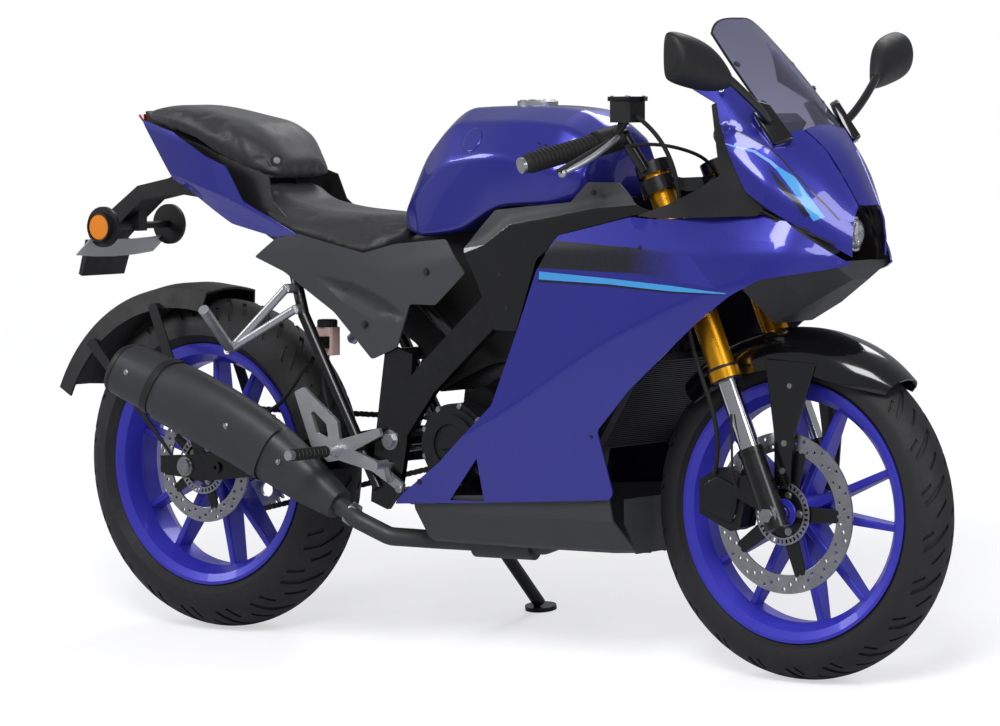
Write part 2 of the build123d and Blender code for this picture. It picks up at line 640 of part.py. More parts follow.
PIPE_R = 17
MUFFLER_IN = Vector(398, -148, 266)
MUFFLER_RUN = Vector(-0.87, 0, 0.493).normalized()
with BuildPart() as exhaust_pipe:
    port = BARREL.from_local_coords((-30, -HEAD_L / 2 - FIT, 134))
    outlet = MUFFLER_IN - MUFFLER_RUN * FIT
    tube([port, port - BARREL.y_dir * 36, (905, -34, 360), (858, -34, 232), (780, -30, 204), (560, -60, 204),
          (500, -126, 212), outlet - MUFFLER_RUN * 52, outlet], PIPE_R, bend=30)
    rod(Vector(760, -30, 204), Vector(640, -46, 204), PIPE_R + 11)
keep("exhaust_pipe", exhaust_pipe.part)

MUFFLER_END = (-80, -192, 500)
# each muffler section: its centre, then width and height
MUFFLER = ((*MUFFLER_IN, 52, 56), (330, -160, 310, 76, 92), (250, -172, 366, 92, 110),
           (120, -186, 430, 104, 120), (0, -191, 474, 102, 114), (*MUFFLER_END, 94, 104))
with BuildPart() as muffler:
    sections = []
    for x, y, z, w, h in MUFFLER:
        with BuildSketch(Plane(origin=(x, y, z), x_dir=(0, 1, 0), z_dir=MUFFLER_RUN)) as ring:
            RectangleRounded(w, h, w * 0.42)
        sections.append(ring.sketch)
    loft(sections)
    with BuildSketch(Plane(origin=MUFFLER_END, x_dir=(0, 1, 0), z_dir=MUFFLER_RUN)) as cap:
        RectangleRounded(86, 96, 34)
    extrude(cap.sketch, amount=16, taper=18)
    outlet = Vector(*MUFFLER_END) + MUFFLER_RUN * 17
    rod(outlet, outlet - MUFFLER_RUN * 14, 20, Mode.SUBTRACT)
keep("muffler", muffler.part)

with BuildPart() as swingarm:
    for hand in (1, -1):
        near, far = band(hand, ARM_INNER, (ARM_INNER + ARM_T))
        plate([(-52, 330), (-52, 296), (60, 290), (430, 336), (520, 362), (534, 390), (508, 416), (400, 396),
               (60, 342)], near, far)
    disc(*PIVOT, 14 + FIT, 140, -140, Mode.SUBTRACT)
    disc(*ARM_TUBE, ARM_TUBE_R, ARM_INNER + 1, -ARM_INNER - 1)
    for hand in (1, -1):
        # adjuster block at the arm's end, and the boss drilled for a stand's spool
        near, far = band(hand, (ARM_INNER + ARM_T), (ARM_INNER + 4))
        plate([(-62, 300), (-24, 296), (-24, 334), (-62, 332)], near, far)
        near, far = band(hand, (ARM_INNER + ARM_T + 5), ARM_INNER)
        disc(*SPOOL, 11, near, far)
    disc(0, REAR_TYRE_R, AXLE_R + 0.2, 140, -140, Mode.SUBTRACT)
    disc(*SPOOL, SPOOL_R, 140, -140, Mode.SUBTRACT)
keep("swingarm", swingarm.part)

# The shock absorber stands between the swingarm's tube and the frame's upper cross tube.
SHOCK_EYE_R = 13
SHOCK_LOW = Vector(ARM_TUBE[0], 0, ARM_TUBE[1])
SHOCK_UP = (Vector(SHOCK_TOP[0], 0, SHOCK_TOP[1]) - SHOCK_LOW).normalized()
LOW_EYE = SHOCK_LOW + SHOCK_UP * (ARM_TUBE_R + SHOCK_EYE_R + FIT)
HIGH_EYE = Vector(SHOCK_TOP[0], 0, SHOCK_TOP[1]) - SHOCK_UP * (CROSS_R + SHOCK_EYE_R + FIT)
SPRING_TURNS = 7
SPRING_PITCH = 15
with BuildPart() as rear_shock:
    for eye in (LOW_EYE, HIGH_EYE):
        disc(eye.X, eye.Z, SHOCK_EYE_R, 15, -15)
    rod(LOW_EYE, HIGH_EYE, 19)
    for i in range(SPRING_TURNS):
        turn = LOW_EYE + SHOCK_UP * (24 + i * SPRING_PITCH)
        rod(turn, turn + SHOCK_UP * 9, 29)
keep("rear_shock", rear_shock.part)

# ---- Chain and sprocket on the left
with BuildPart() as chain:
    for out in (CHAIN_GAP / 2, -CHAIN_GAP / 2 - PLATE_T):
        with BuildSketch(side(CHAIN_Y + out + PLATE_T)) as loop:
            for r in (CHAIN_H / 2, -CHAIN_H / 2):
                with BuildSketch(mode=Mode.PRIVATE) as ends:
                    with Locations((0, REAR_TYRE_R)):
                        Circle(REAR_PITCH_R + r)
                    with Locations(OUTPUT_SHAFT):
                        Circle(FRONT_PITCH_R + r)
                    make_hull()
                add(ends.sketch, mode=Mode.ADD if r > 0 else Mode.SUBTRACT)
        extrude(loop.sketch, amount=PLATE_T)
    run = Vector(OUTPUT_SHAFT[0], 0, OUTPUT_SHAFT[1] - REAR_TYRE_R)
    drop = (REAR_PITCH_R - FRONT_PITCH_R) / run.length
    slope = run.Z / run.length
    for up in (1, -1):
        for i in range(6):
            t = 0.24 + i * 0.12
            r = REAR_PITCH_R * (1 - t) + FRONT_PITCH_R * t
            lean = Vector(drop * run.X / run.length - up * slope, 0, drop * slope + up * run.X / run.length)
            spot = REAR_AXLE + run * t + lean.normalized() * r
            disc(spot.X, spot.Z, 4, CHAIN_Y + CHAIN_GAP / 2 + 1, CHAIN_Y - CHAIN_GAP / 2 - 1)
keep("chain", chain.part)

TOOTH = 4                # a tooth's rise above the pitch circle, and its fall below
with BuildPart() as rear_sprocket:
    teeth = []
    for i in range(REAR_TEETH):
        for part, rise in ((0.12, TOOTH), (0.3, -TOOTH), (0.7, -TOOTH), (0.88, TOOTH)):
            r = REAR_PITCH_R + rise
            turn = radians(360 / REAR_TEETH * (i + part))
            teeth.append((r * sin(turn), REAR_TYRE_R + r * cos(turn)))
    plate(teeth, CHAIN_Y + 3, CHAIN_Y - 3)
    with BuildSketch(side(CHAIN_Y + 4)) as windows:
        with Locations((0, REAR_TYRE_R)):
            with PolarLocations(REAR_PITCH_R * 0.68, 6):
                Circle(14)
    extrude(windows.sketch, amount=8, mode=Mode.SUBTRACT)
    disc(0, REAR_TYRE_R, HUB_R + 10, CHAIN_Y - 3, REAR_HUB_W / 2 + FIT)
    disc(0, REAR_TYRE_R, AXLE_R + 6, 100, 40, Mode.SUBTRACT)
keep("rear_sprocket", rear_sprocket.part)

with BuildPart() as rear_caliper:
    plate([(84, 412), (140, 372), (112, 318), (60, 345)], REAR_DISC_Y + 14, REAR_DISC_Y - 26)
    disc(98, 335, 9, REAR_DISC_Y - 20, -ARM_INNER + FIT)
    disc(0, REAR_TYRE_R, REAR_DISC_R + 2, REAR_DISC_Y + DISC_T / 2 + 1.5, REAR_DISC_Y - DISC_T / 2 - 1.5,
         Mode.SUBTRACT)
keep("rear_caliper", rear_caliper.part)

# ---- Tank and seats
TANK_REAR = 503
TANK_FOOT_X = 900        # rubber-mounted feet on the spars
CAP_X = 745
CAP_Z = 998              # floor of the cap's recess in the tank
CAP_R = 38
with BuildPart() as fuel_tank:
    body(((TANK_REAR, ((-40, 835), (-70, 822), (-85, 800), (-80, 772))),
          (560, ((-45, 940), (-82, 912), (-106, 850), (-108, 762))),
          (640, ((-45, 996), (-95, 968), (-130, 900), (-122, 770))),
          (770, ((-45, 1000), (-110, 973), (-152, 912), (-138, 820))),
          (870, ((-40, 994), (-105, 965), (-150, 890), (-136, 824))),
          (935, ((-35, 960), (-85, 935), (-115, 880), (-108, 836)))), rounding=14)
    y, z, _, h = spar_at(TANK_FOOT_X)
    post(TANK_FOOT_X, y - 4, z + h / 2 + 5, 836, 9)
    with BuildSketch(Plane((CAP_X, 0, CAP_Z))) as recess:
        Circle(CAP_R + 1)
    extrude(recess.sketch, amount=20, mode=Mode.SUBTRACT)
keep("fuel_tank", fuel_tank.part)

with BuildPart() as fuel_cap:
    with BuildSketch(Plane((CAP_X, 0, CAP_Z + FIT))) as cap:
        Circle(CAP_R)
    extrude(cap.sketch, amount=9)
keep("fuel_cap", fuel_cap.part)

with BuildPart() as rider_seat:
    body(((150, ((-60, 862), (-96, 850), (-102, 838), (-90, 822))),
          (230, ((-70, 815), (-124, 800), (-134, 782), (-118, 762))),
          (330, ((-70, 800), (-125, 785), (-142, 757), (-120, 738))),
          (450, ((-60, 795), (-105, 775), (-138, 737), (-110, 722))),
          (TANK_REAR - FIT, ((-30, 800), (-60, 792), (-72, 766), (-66, 748)))), rounding=6)
    for x in (270, 400):
        v = rail_at(x)
        post(x, v.Y, v.Z + TUBE_R + 3.5, v.Z + 52, 9)
keep("rider_seat", rider_seat.part)

with BuildPart() as pillion_seat:
    body(((-150, ((-30, 985), (-50, 982), (-56, 974), (-50, 966))),
          (-70, ((-50, 992), (-82, 983), (-90, 970), (-80, 955))),
          (70, ((-60, 972), (-102, 958), (-116, 936), (-100, 905))),
          (130, ((-60, 958), (-108, 940), (-120, 908), (-104, 878))),
          (200, ((-40, 890), (-68, 880), (-84, 868), (-72, 858)))), rounding=6, ruled=True)
keep("pillion_seat", pillion_seat.part)

# ---- Tail
with BuildPart() as tail_panels:
    skin(((-150, ((-58, 990), (-66, 960), (-60, 900), (-52, 840))),
          (-40, ((-92, 980), (-104, 940), (-96, 860), (-80, 800))),
          (110, ((-122, 960), (-136, 900), (-130, 800), (-112, 740))),
          (305, ((-148, 820), (-150, 790), (-146, 740), (-140, 700)))))
    plate([(-150, 968), (-40, 946), (60, 902), (118, 884), (160, 820), (300, 760), (258, 750),
           (119, 776), (-52, 860)], 0, -200, mode=Mode.INTERSECT)
    disc(60, 876, 7, -80.5, -124)
    mirror(about=Plane.XZ)
keep("tail_panels", tail_panels.part)

LAMP_TOP = Vector(-182, 0, 978)
LAMP_LOW = Vector(-82, 0, 872)
LAMP_OUT = Vector(LAMP_LOW.Z - LAMP_TOP.Z, 0, LAMP_TOP.X - LAMP_LOW.X).normalized()   # rearwards and down
with BuildPart() as tail_core:
    body(((LAMP_TOP.X, ((-12, 984), (-18, 983), (-18, 980), (-12, LAMP_TOP.Z))),
          (-152, ((-30, 962), (-40, 957), (-42, 952), (-36, 946.2))),
          (LAMP_LOW.X, ((-50, 944), (-62, 936), (-62, 900), (-50, LAMP_LOW.Z))),
          (6, ((-50, 927.5), (-72, 922), (-78, 884), (-60, 868))),
          (110, ((-50, 886.5), (-80, 878), (-84, 842), (-60, 836)))), ruled=True)
    post(30, 30, 838 + TUBE_R - 1 + FIT, 880, 8)
keep("tail_core", tail_core.part)

with BuildPart() as tail_lamp:
    strip = [LAMP_TOP + LAMP_OUT * FIT, LAMP_TOP + LAMP_OUT * 5,
             LAMP_LOW + LAMP_OUT * 5, LAMP_LOW + LAMP_OUT * FIT]
    plate([(v.X, v.Z) for v in strip], 34, -34)
keep("tail_lamp", tail_lamp.part)

REFLECTOR = (-222, 762)
REFLECTOR_Y = 100        # black back's outer face from the middle
REFLECTOR_R = 36
with BuildPart() as plate_holder:
    plate([(-10, 840), (-10, 868.4), (-78, 871.5), (-110, 856), (-190, 840), (-262, 790), (-300, 735),
           (-290, 722), (-240, 765), (-180, 812), (-100, 828), (-30, 820)], 34, -34)
    plate([(-300, 735), (-318, 668), (-310, 664), (-286, 730)], 62, -62)
    plate([(-240, 766), (-206, 792), (-206, 752), (-238, 752)], 12, -12)
    disc(*REFLECTOR, 7, REFLECTOR_Y, -REFLECTOR_Y)
    for hand in (1, -1):
        disc(*REFLECTOR, REFLECTOR_R + 3, *band(hand, REFLECTOR_Y - 8, REFLECTOR_Y))
keep("plate_holder", plate_holder.part)

with BuildPart() as rear_reflectors:
    for hand in (1, -1):
        near, far = band(hand, (REFLECTOR_Y + FIT), (REFLECTOR_Y + 11))
        disc(*REFLECTOR, REFLECTOR_R, near, far)
keep("rear_reflectors", rear_reflectors.part)

with BuildPart() as side_covers:
    skin(((170, ((-118, 790), (-126, 740), (-118, 640))),
          (330, ((-148, 800), (-146, 740), (-130, 560))),
          (500, ((-130, 800), (-141, 700), (-141, 500))),
          (700, ((-130, 800), (-147, 740), (-146, 600)))))
    plate([(180, 712), (297, 748), (450, 716), (520, 740), (640, 752), (690, 700), (620, 640), (560, 640),
           (530, 560), (470, 536), (380, 620), (260, 690)], 0, -200, mode=Mode.INTERSECT)
    v = rail_at(430)
    disc(v.X, v.Z, 6, -v.Y - TUBE_R - FIT, -140)
    mirror(about=Plane.XZ)
keep("side_covers", side_covers.part)

# ---- Rear mudguard: an arc round a point behind the axle, with two flat stays to each swingarm leg
GUARD_R = 342
GUARD_HALF = 80
GUARD_REAR = 66.7        # how far it curves down behind its centre
GUARD_CENTRE = Vector(GUARD_R * sin(radians(GUARD_REAR)) - MUDGUARD_REACH, 0, REAR_TYRE_R + 1)
with BuildPart() as rear_mudguard:
    with BuildSketch(Plane(origin=GUARD_CENTRE, x_dir=(0, 1, 0), z_dir=(1, 0, 0))) as face:
        arch = [(GUARD_HALF, GUARD_R - 46), (GUARD_HALF - 8, GUARD_R - 8), (20, GUARD_R)]
        with BuildLine():
            outer = arch + [(-y, r) for y, r in reversed(arch)]
            Polyline(*outer, *reversed(inward(outer, WALL)), close=True)
        make_face()
    revolve(face.sketch, axis=Axis(GUARD_CENTRE, (0, -1, 0)), revolution_arc=GUARD_REAR)
    revolve(face.sketch, axis=Axis(GUARD_CENTRE, (0, 1, 0)), revolution_arc=12)
    for hand in (1, -1):
        bar = ARM_INNER - FIT
        near, far = band(hand, bar, (bar - 3))
        back, front = GUARD_CENTRE.X - 202, GUARD_CENTRE.X - 45
        plate([(-46, 322), (-28, 308), (back + 8, 548), (back - 12, 535)], near, far)
        plate([(12, 320), (36, 326), (front + 9, 620), (front - 11, 612)], near, far)
        for x, z in ((back, 538), (front, 612)):
            disc(x, z, 7, *band(hand, bar, 76))
keep("rear_mudguard", rear_mudguard.part)

# ---- Nose
NOSE = ((1180, ((-70, 1140), (-125, 1090), (-152, 1040), (-160, 960))),
        (1270, ((-78, 1045), (-140, 1000), (-176, 940), (-180, 830))),
        (1340, ((-70, 985), (-124, 940), (-168, 880), (-160, 780))),
        (1400, ((-45, 925), (-88, 890), (-120, 830), (-112, 750))),
        (1458, ((-30, 830), (-44, 815), (-58, 780), (-56, 716))))
# each flank section: top edge, upper crease, the long diagonal crease, foot
FLANK = ((535, ((-150, 860), (-160, 750), (-168, 318), (-148, 250))),
         (800, ((-152, 860), (-184, 750), (-186, 455), (-152, 250))),
         (1050, ((-158, 860), (-193, 750), (-191, 600), (-134, 250))),
         (1250, ((-150, 860), (-190, 750), (-187, 685), (-120, 250))),
         (1367, ((-126, 860), (-164, 750), (-160, 712), (-100, 250))),
         (1470, ((-46, 860), (-60, 750), (-58, 735), (-40, 250))))
FLANK_OUTLINE = [(535, 276), (1010, 308), (1018, 321), (998, 431), (1070, 505), (1215, 626), (1288, 678),
                 (1340, 706), (1430, 723), (1464, 732), (1360, 818), (1125, 806), (1075, 809), (925, 774),
                 (880, 710), (826, 578), (778, 468), (650, 358), (556, 296)]
SCREEN_FRONT = 1363      # the screen's foot, on the middle line
SCREEN_HALF = 103.7      # half its width at the foot
with BuildPart() as nose_cowl:
    skin(NOSE, both=True)
    plate([(1168, 1044), (1240, 1008), (1268, 948), (1312, 858), (1338, 838), (1457, 744), (1457, 802),
           (1452, 812), (1452, 850), (1384, 980), (1178, 1160), (1168, 1150)], 200, -200,
          mode=Mode.INTERSECT)
    plate([(1150, 1200), (1150, 1000), (SCREEN_FRONT + FIT, 930), (SCREEN_FRONT + FIT, 1200)],
          SCREEN_HALF + FIT, -SCREEN_HALF - FIT, mode=Mode.SUBTRACT)
keep("nose_cowl", nose_cowl.part)

# each chin section: x, top, and the keel's width and height
CHIN = ((1300, 702, -60, 626), (1367, 722, -50, 660), (1440, 735, -26, 704))
with BuildPart() as nose_chin:
    body([(x, ((inner_face(FLANK, x, top) + 50, top + 2), (inner_face(FLANK, x, top), top),
               (inner_face(FLANK, x, top - 6) + 1, top - 6), (keel_y, keel_z)))
          for x, top, keel_y, keel_z in CHIN], ruled=True)
keep("nose_chin", nose_chin.part)

LAMP_X = 1375            # back of the headlamp
LAMP_Z = 782
with BuildPart() as headlamp:
    with BuildSketch(Plane(origin=(LAMP_X, 0, LAMP_Z), z_dir=(1, 0, 0))) as lens:
        Circle(30)
    extrude(lens.sketch, amount=50)
keep("headlamp", headlamp.part)

PANEL = Vector(1240, 0, 960)         # middle of the instrument panel's face
PANEL_OUT = Vector(-0.8, 0, 0.6)
PANEL_T = 24
STAY_BAR = (1310, 892)               # cross bar that carries the nose cowl
STAY_BAR_R = 8
with BuildPart() as fairing_stay:
    ahead = HEAD_TUBE_R - FORK_OFFSET + FIT
    low, high = [FORK.from_local_coords((ahead, 0, LOWER_CLAMP + CLAMP_T + CLAMP_GAP * part))
                 for part in (0.28, 0.71)]
    plate([(low.X, low.Z), (LAMP_X - FIT, LAMP_Z - 12), (LAMP_X - FIT, LAMP_Z + 12),
           (high.X, high.Z)], 14, -14)
    face = PANEL - PANEL_OUT * (PANEL_T + FIT)
    run = Vector(-PANEL_OUT.Z, 0, PANEL_OUT.X)
    plate([(1290, LAMP_Z - 8), (1330, LAMP_Z - 8), (STAY_BAR[0] + 12, STAY_BAR[1]),
           *[((face + run * d).X, (face + run * d).Z) for d in (-12, 12)]], 12, -12)
    half = -inner_face(NOSE, STAY_BAR[0] + STAY_BAR_R, STAY_BAR[1])
    disc(*STAY_BAR, STAY_BAR_R, half, -half)
keep("fairing_stay", fairing_stay.part)

with BuildPart() as nose_inner:
    skin([(x, ((inner_face(NOSE, x, top) + FIT, top), (inner_face(NOSE, x, cowl) + FIT, cowl),
               (inner_face(FLANK, x, edge) + FIT, edge), (inner_face(FLANK, x, low) + FIT, low)))
          for x, top, cowl, edge, low in ((1318, 863, 852.8, 816.5, 806), (1340, 846, 836, 817.6, 806),
                                          (1360, 830, 819.8, 818.4, 806), (1400, 799, 788, 785.4, 776),
                                          (1440, 768, 756.5, 752.4, 743))], wall=3)
    mirror(about=Plane.XZ)
keep("nose_inner", nose_inner.part)

with BuildPart() as windscreen:
    sections = []
    for z, edge, mid, half in ((953, SCREEN_FRONT - 22, SCREEN_FRONT, SCREEN_HALF), (1060, 1246, 1270, 96),
                               (1154, 1158, 1180, 76)):
        with BuildSketch(Plane.XY.offset(z)) as face:
            with BuildLine():
                ThreePointArc((edge, -half), (mid, 0), (edge, half))
                Line((edge, half), (edge - 5, half))
                ThreePointArc((edge - 5, half), (mid - 5, 0), (edge - 5, -half))
                Line((edge - 5, -half), (edge, -half))
            make_face()
        sections.append(face.sketch)
    loft(sections, ruled=True)
keep("windscreen", windscreen.part)

with BuildPart() as instrument_panel:
    with BuildSketch(Plane(origin=PANEL, x_dir=(0, 1, 0), z_dir=PANEL_OUT)) as face:
        RectangleRounded(150, 70, 10)
    extrude(face.sketch, amount=-PANEL_T)
keep("instrument_panel", instrument_panel.part)

with BuildPart() as mirrors:
    for hand in (1, -1):
        foot = Vector(1330.1, 114.4, 967.9)
        joint = Vector(1322, MIRROR_HALF - 134, 1050)
        rod(hand_side(foot, hand), hand_side(joint, hand), 8)
        sections = []
        for inset, x, z, w, h in ((136, 1318, 1052, 24, 40), (96, 1308, 1072, 44, 84),
                                  (26, 1300, 1088, 44, 78), (0, 1296, 1092, 24, 50)):
            with BuildSketch(side(hand * (MIRROR_HALF - inset))) as face:
                with Locations((x, z)):
                    RectangleRounded(w, h, w * 0.3)
            sections.append(face.sketch)
        loft(sections)
keep("mirrors", mirrors.part)

# ---- Side fairings and belly
for name, hand in (("side_fairing_right", -1), ("side_fairing_left", 1)):
    with BuildPart() as fairing:
        skin(FLANK)
        plate(FLANK_OUTLINE, 0, -220, mode=Mode.INTERSECT)
        plate([(664, 290), (742, 292), (736, 370)], 0, -220, mode=Mode.SUBTRACT)
        if hand > 0:
            mirror(about=Plane.XZ)
            split(bisect_by=Plane.XZ, keep=Keep.BOTTOM)
    keep(name, fairing.part)

with BuildPart() as belly_pan:
    skin([(x, ((inner_face(FLANK, x, top), top), (inner_face(FLANK, x, 268) + 2, 268), (low_y, 212),
               (keel_y, 204)))
          for x, top, low_y, keel_y in ((575, 330, -104, -84), (800, 330, -98, -80), (960, 332, -84, -62),
                                        (1012, 332, -70, -20))])
    plate([(575, 292), (1004, 320), (1012, 190), (575, 190)], 0, -200, mode=Mode.INTERSECT)
    mirror(about=Plane.XZ)
    with BuildSketch(Plane.YZ.offset(1008)) as front:
        with BuildLine():
            Polyline((-100, 306), (-100, 262), (-66, 206), (66, 206), (100, 262), (100, 306), close=True)
        make_face()
    extrude(front.sketch, amount=WALL)
keep("belly_pan", belly_pan.part)

with BuildPart() as intake_covers:
    skin(((700, ((-150, 830), (-156, 780), (-150, 600))),
          (900, ((-156, 870), (-162, 800), (-156, 600))),
          (1060, ((-150, 900), (-158, 830), (-150, 600))),
          (1300, ((-150, 900), (-160, 850), (-150, 700)))))
    plate([(690, 745), (760, 815), (930, 832), (965, 868), (1030, 868), (1075, 830), (1120, 816), (1070, 812),
           (925, 778), (860, 730), (810, 600), (760, 600), (720, 690)], 0, -200, mode=Mode.INTERSECT)
    y, _, w, _ = spar_at(780)
    disc(780, 660, 6, -y - w / 2 - 0.6, -153)
    mirror(about=Plane.XZ)
keep("intake_covers", intake_covers.part)

# ---- Footrests
BRACKET_Y = STAY_Y + STAY_R + FIT
PILLION_JOINT = Vector(165, 178, 545)
PILLION_TIP = Vector(195, 290, 625)      # end of the folded pillion peg
PEG_Y = 290              # a footpeg's tip
with BuildPart() as footrests:
    for hand in (1, -1):
        near, far = band(hand, BRACKET_Y, (BRACKET_Y + 8))
        # two arms of the bracket meet behind the peg; the heel plate stands above it
        plate([(384, 352), (480, 332), (546, 296), (552, 312), (488, 352), (394, 382)], near, far, radius=3)
        plate([(384, 352), (404, 352), (500, 398), (496, 412), (394, 384)], near, far, radius=3)
        plate([(296, 470), (318, 480), (398, 420), (410, 350), (376, 344), (336, 372)], near, far, radius=5)
        near, far = band(hand, (BRACKET_Y - 1), (BRACKET_Y + 9))
        plate([(330, 446), (372, 414), (378, 386), (350, 396)], near, far, radius=5, mode=Mode.SUBTRACT)
        disc(394, 366, 13, *band(hand, (BRACKET_Y + 2), (BRACKET_Y + 24)))
        disc(394, 366, 9, *band(hand, (BRACKET_Y + 20), PEG_Y))
        disc(500, 340, 11, *band(hand, (PLATE_Y + 12 + FIT), BRACKET_Y))
    # brake pedal ahead of the right peg, shift lever ahead of the left one
    rod(Vector(520, -152, 318), Vector(548, -196, 352), 6)
    rod(Vector(548, -196, 352), Vector(548, -232, 352), 8)
    rod(Vector(520, 152, 318), Vector(556, 190, 350), 5)
    rod(Vector(556, 190, 350), Vector(556, 232, 350), 8)
keep("footrests", footrests.part)

with BuildPart() as pillion_footrests:
    for hand in (1, -1):
        joint = hand_side(PILLION_JOINT, hand)
        for z in (660, 622):
            # a boss stands on the frame's stay, and an arm of the truss runs from it to the joint
            spot = STAY[1] + (STAY[2] - STAY[1]) * ((z - STAY[1].Z) / (STAY[2].Z - STAY[1].Z))
            outer = hand_side(Vector(spot.X, BRACKET_Y + 4, z), hand)
            rod(hand_side(spot, hand), outer, 9)
            rod(outer, joint, 8)
        for low, high in ((0, 1), (1, 2)):
            rod(hand_side(STAY[low], hand), hand_side(STAY[high], hand), STAY_R + FIT, Mode.SUBTRACT)
        rod(joint, hand_side(PILLION_TIP, hand), 10)
keep("pillion_footrests", pillion_footrests.part)

with BuildPart() as brake_reservoir:
    with BuildSketch(Plane(origin=(322, CUP_Y, 536))) as cup:
        RectangleRounded(42, CUP_W, 8)
    extrude(cup.sketch, amount=52)
keep("brake_reservoir", brake_reservoir.part)

# ---- Side stand: bracket eye, leg and foot plate that lies flat on the ground
with BuildPart() as side_stand:
    tube([HINGE, HINGE + LEG * 0.98], STAND_LEG_R)
    with BuildSketch(Plane(origin=FOOT, x_dir=(1, 0, 0), z_dir=FLOOR_UP)) as sole:
        Ellipse(FOOT_R + 6, FOOT_R)
    extrude(sole.sketch, amount=FOOT_T)
    rod(HINGE - STAND_AXIS * (EYE_T / 2), HINGE + STAND_AXIS * (EYE_T / 2), EYE_R)
    rod(HINGE - STAND_AXIS * EYE_T, HINGE + STAND_AXIS * EYE_T, PIN_R + 0.1, Mode.SUBTRACT)
keep("side_stand", side_stand.part)

# ---- Park the bike: lean it over, put the floor at zero and the origin below the middle of its box
LEANED = Pos(0, 0, LIFT) * Rot(-LEAN, 0, 0)
middle = Compound(children=[LEANED * piece for piece in pieces.values()]).bounding_box().center()
PARKED = Pos(-middle.X, -middle.Y, 0) * LEANED

os.makedirs("parts", exist_ok=True)
for name, piece in pieces.items():
    parked = PARKED * piece
    parked.label = name
    export_step(parked, f"parts/{name}.step")
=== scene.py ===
"""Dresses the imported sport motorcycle: finishes for its CAD pieces, skins, seats, cables and small parts."""
import json
from bisect import bisect_right
from math import asin, atan2, cos, hypot, pi, radians, sin

import bmesh
import bpy
from mathutils import Matrix, Vector, geometry


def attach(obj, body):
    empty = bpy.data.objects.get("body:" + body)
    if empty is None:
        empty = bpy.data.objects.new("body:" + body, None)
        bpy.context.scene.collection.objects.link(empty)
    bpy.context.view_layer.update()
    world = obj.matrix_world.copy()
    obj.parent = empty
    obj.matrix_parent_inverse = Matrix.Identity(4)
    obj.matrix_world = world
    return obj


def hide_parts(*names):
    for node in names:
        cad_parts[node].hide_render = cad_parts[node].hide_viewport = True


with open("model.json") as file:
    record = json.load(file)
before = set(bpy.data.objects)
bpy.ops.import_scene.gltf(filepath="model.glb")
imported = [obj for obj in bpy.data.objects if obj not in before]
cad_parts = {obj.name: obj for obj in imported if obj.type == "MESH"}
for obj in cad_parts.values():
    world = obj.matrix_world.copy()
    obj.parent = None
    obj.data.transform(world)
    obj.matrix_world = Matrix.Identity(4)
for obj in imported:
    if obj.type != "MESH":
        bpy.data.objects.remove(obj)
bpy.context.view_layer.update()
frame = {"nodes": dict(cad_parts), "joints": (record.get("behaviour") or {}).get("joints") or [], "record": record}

bl_info = {
    "name": "Sport motorcycle dresser",
    "version": (1, 0),
    "blender": (4, 5, 0),
    "location": "View3D > Sidebar > Motorcycle",
    "description": "Builds the finishes, skins and small parts of a parked sport motorcycle",
    "category": "Object",
}

MM = 0.001
JOINTS = {j["name"]: j for j in frame["joints"]}


# ---- The bike's own axes: X forward from the rear axle, Y to the rider's left, Z up from its tyres
def bike_matrix():
    """From the upright bike's millimetres to the parked bike's metres."""
    spin = JOINTS["rear_wheel_spin"]
    across = Vector(spin["axis"]).normalized()
    up = Vector((1, 0, 0)).cross(across)
    turn = Matrix((Vector((1, 0, 0)), across, up)).transposed().to_4x4()
    drop = Matrix.Translation((0, 0, -REAR_R * MM))
    return Matrix.Translation(Vector(spin["pos_m"])) @ turn @ drop @ Matrix.Scale(MM, 4)


FRONT_R = 297            # tyre radii
REAR_R = 314
WHEELBASE = 1325
BIKE = bike_matrix()


def at(x, y, z):
    """A point of the upright bike, in the frame's metres."""
    return BIKE @ Vector((x, y, z))


# ---- Colours and materials
def linear(code):
    """Linear colour of an sRGB hex value."""
    def one(c):
        return c / 12.92 if c <= 0.04045 else ((c + 0.055) / 1.055) ** 2.4
    return [one(int(code[i:i + 2], 16) / 255) for i in (1, 3, 5)] + [1.0]


def chosen(name):
    """A colour that the user may change, as a linear colour."""
    return [*getattr(bpy.context.scene.bike_colours, name), 1.0]


def add(tree, kind, inputs=None, **settings):
    """Adds a node: settings are its properties, inputs its values or the sockets linked to it."""
    node = tree.nodes.new(kind)
    for key, value in settings.items():
        setattr(node, key, value)
    for key, value in (inputs or {}).items():
        if isinstance(value, bpy.types.NodeSocket):
            tree.links.new(value, node.inputs[key])
        else:
            node.inputs[key].default_value = value
    return node


DRIFT = 60               # how broad a patch of the second colour is
SCUFF = 25               # how broad a patch of wear is


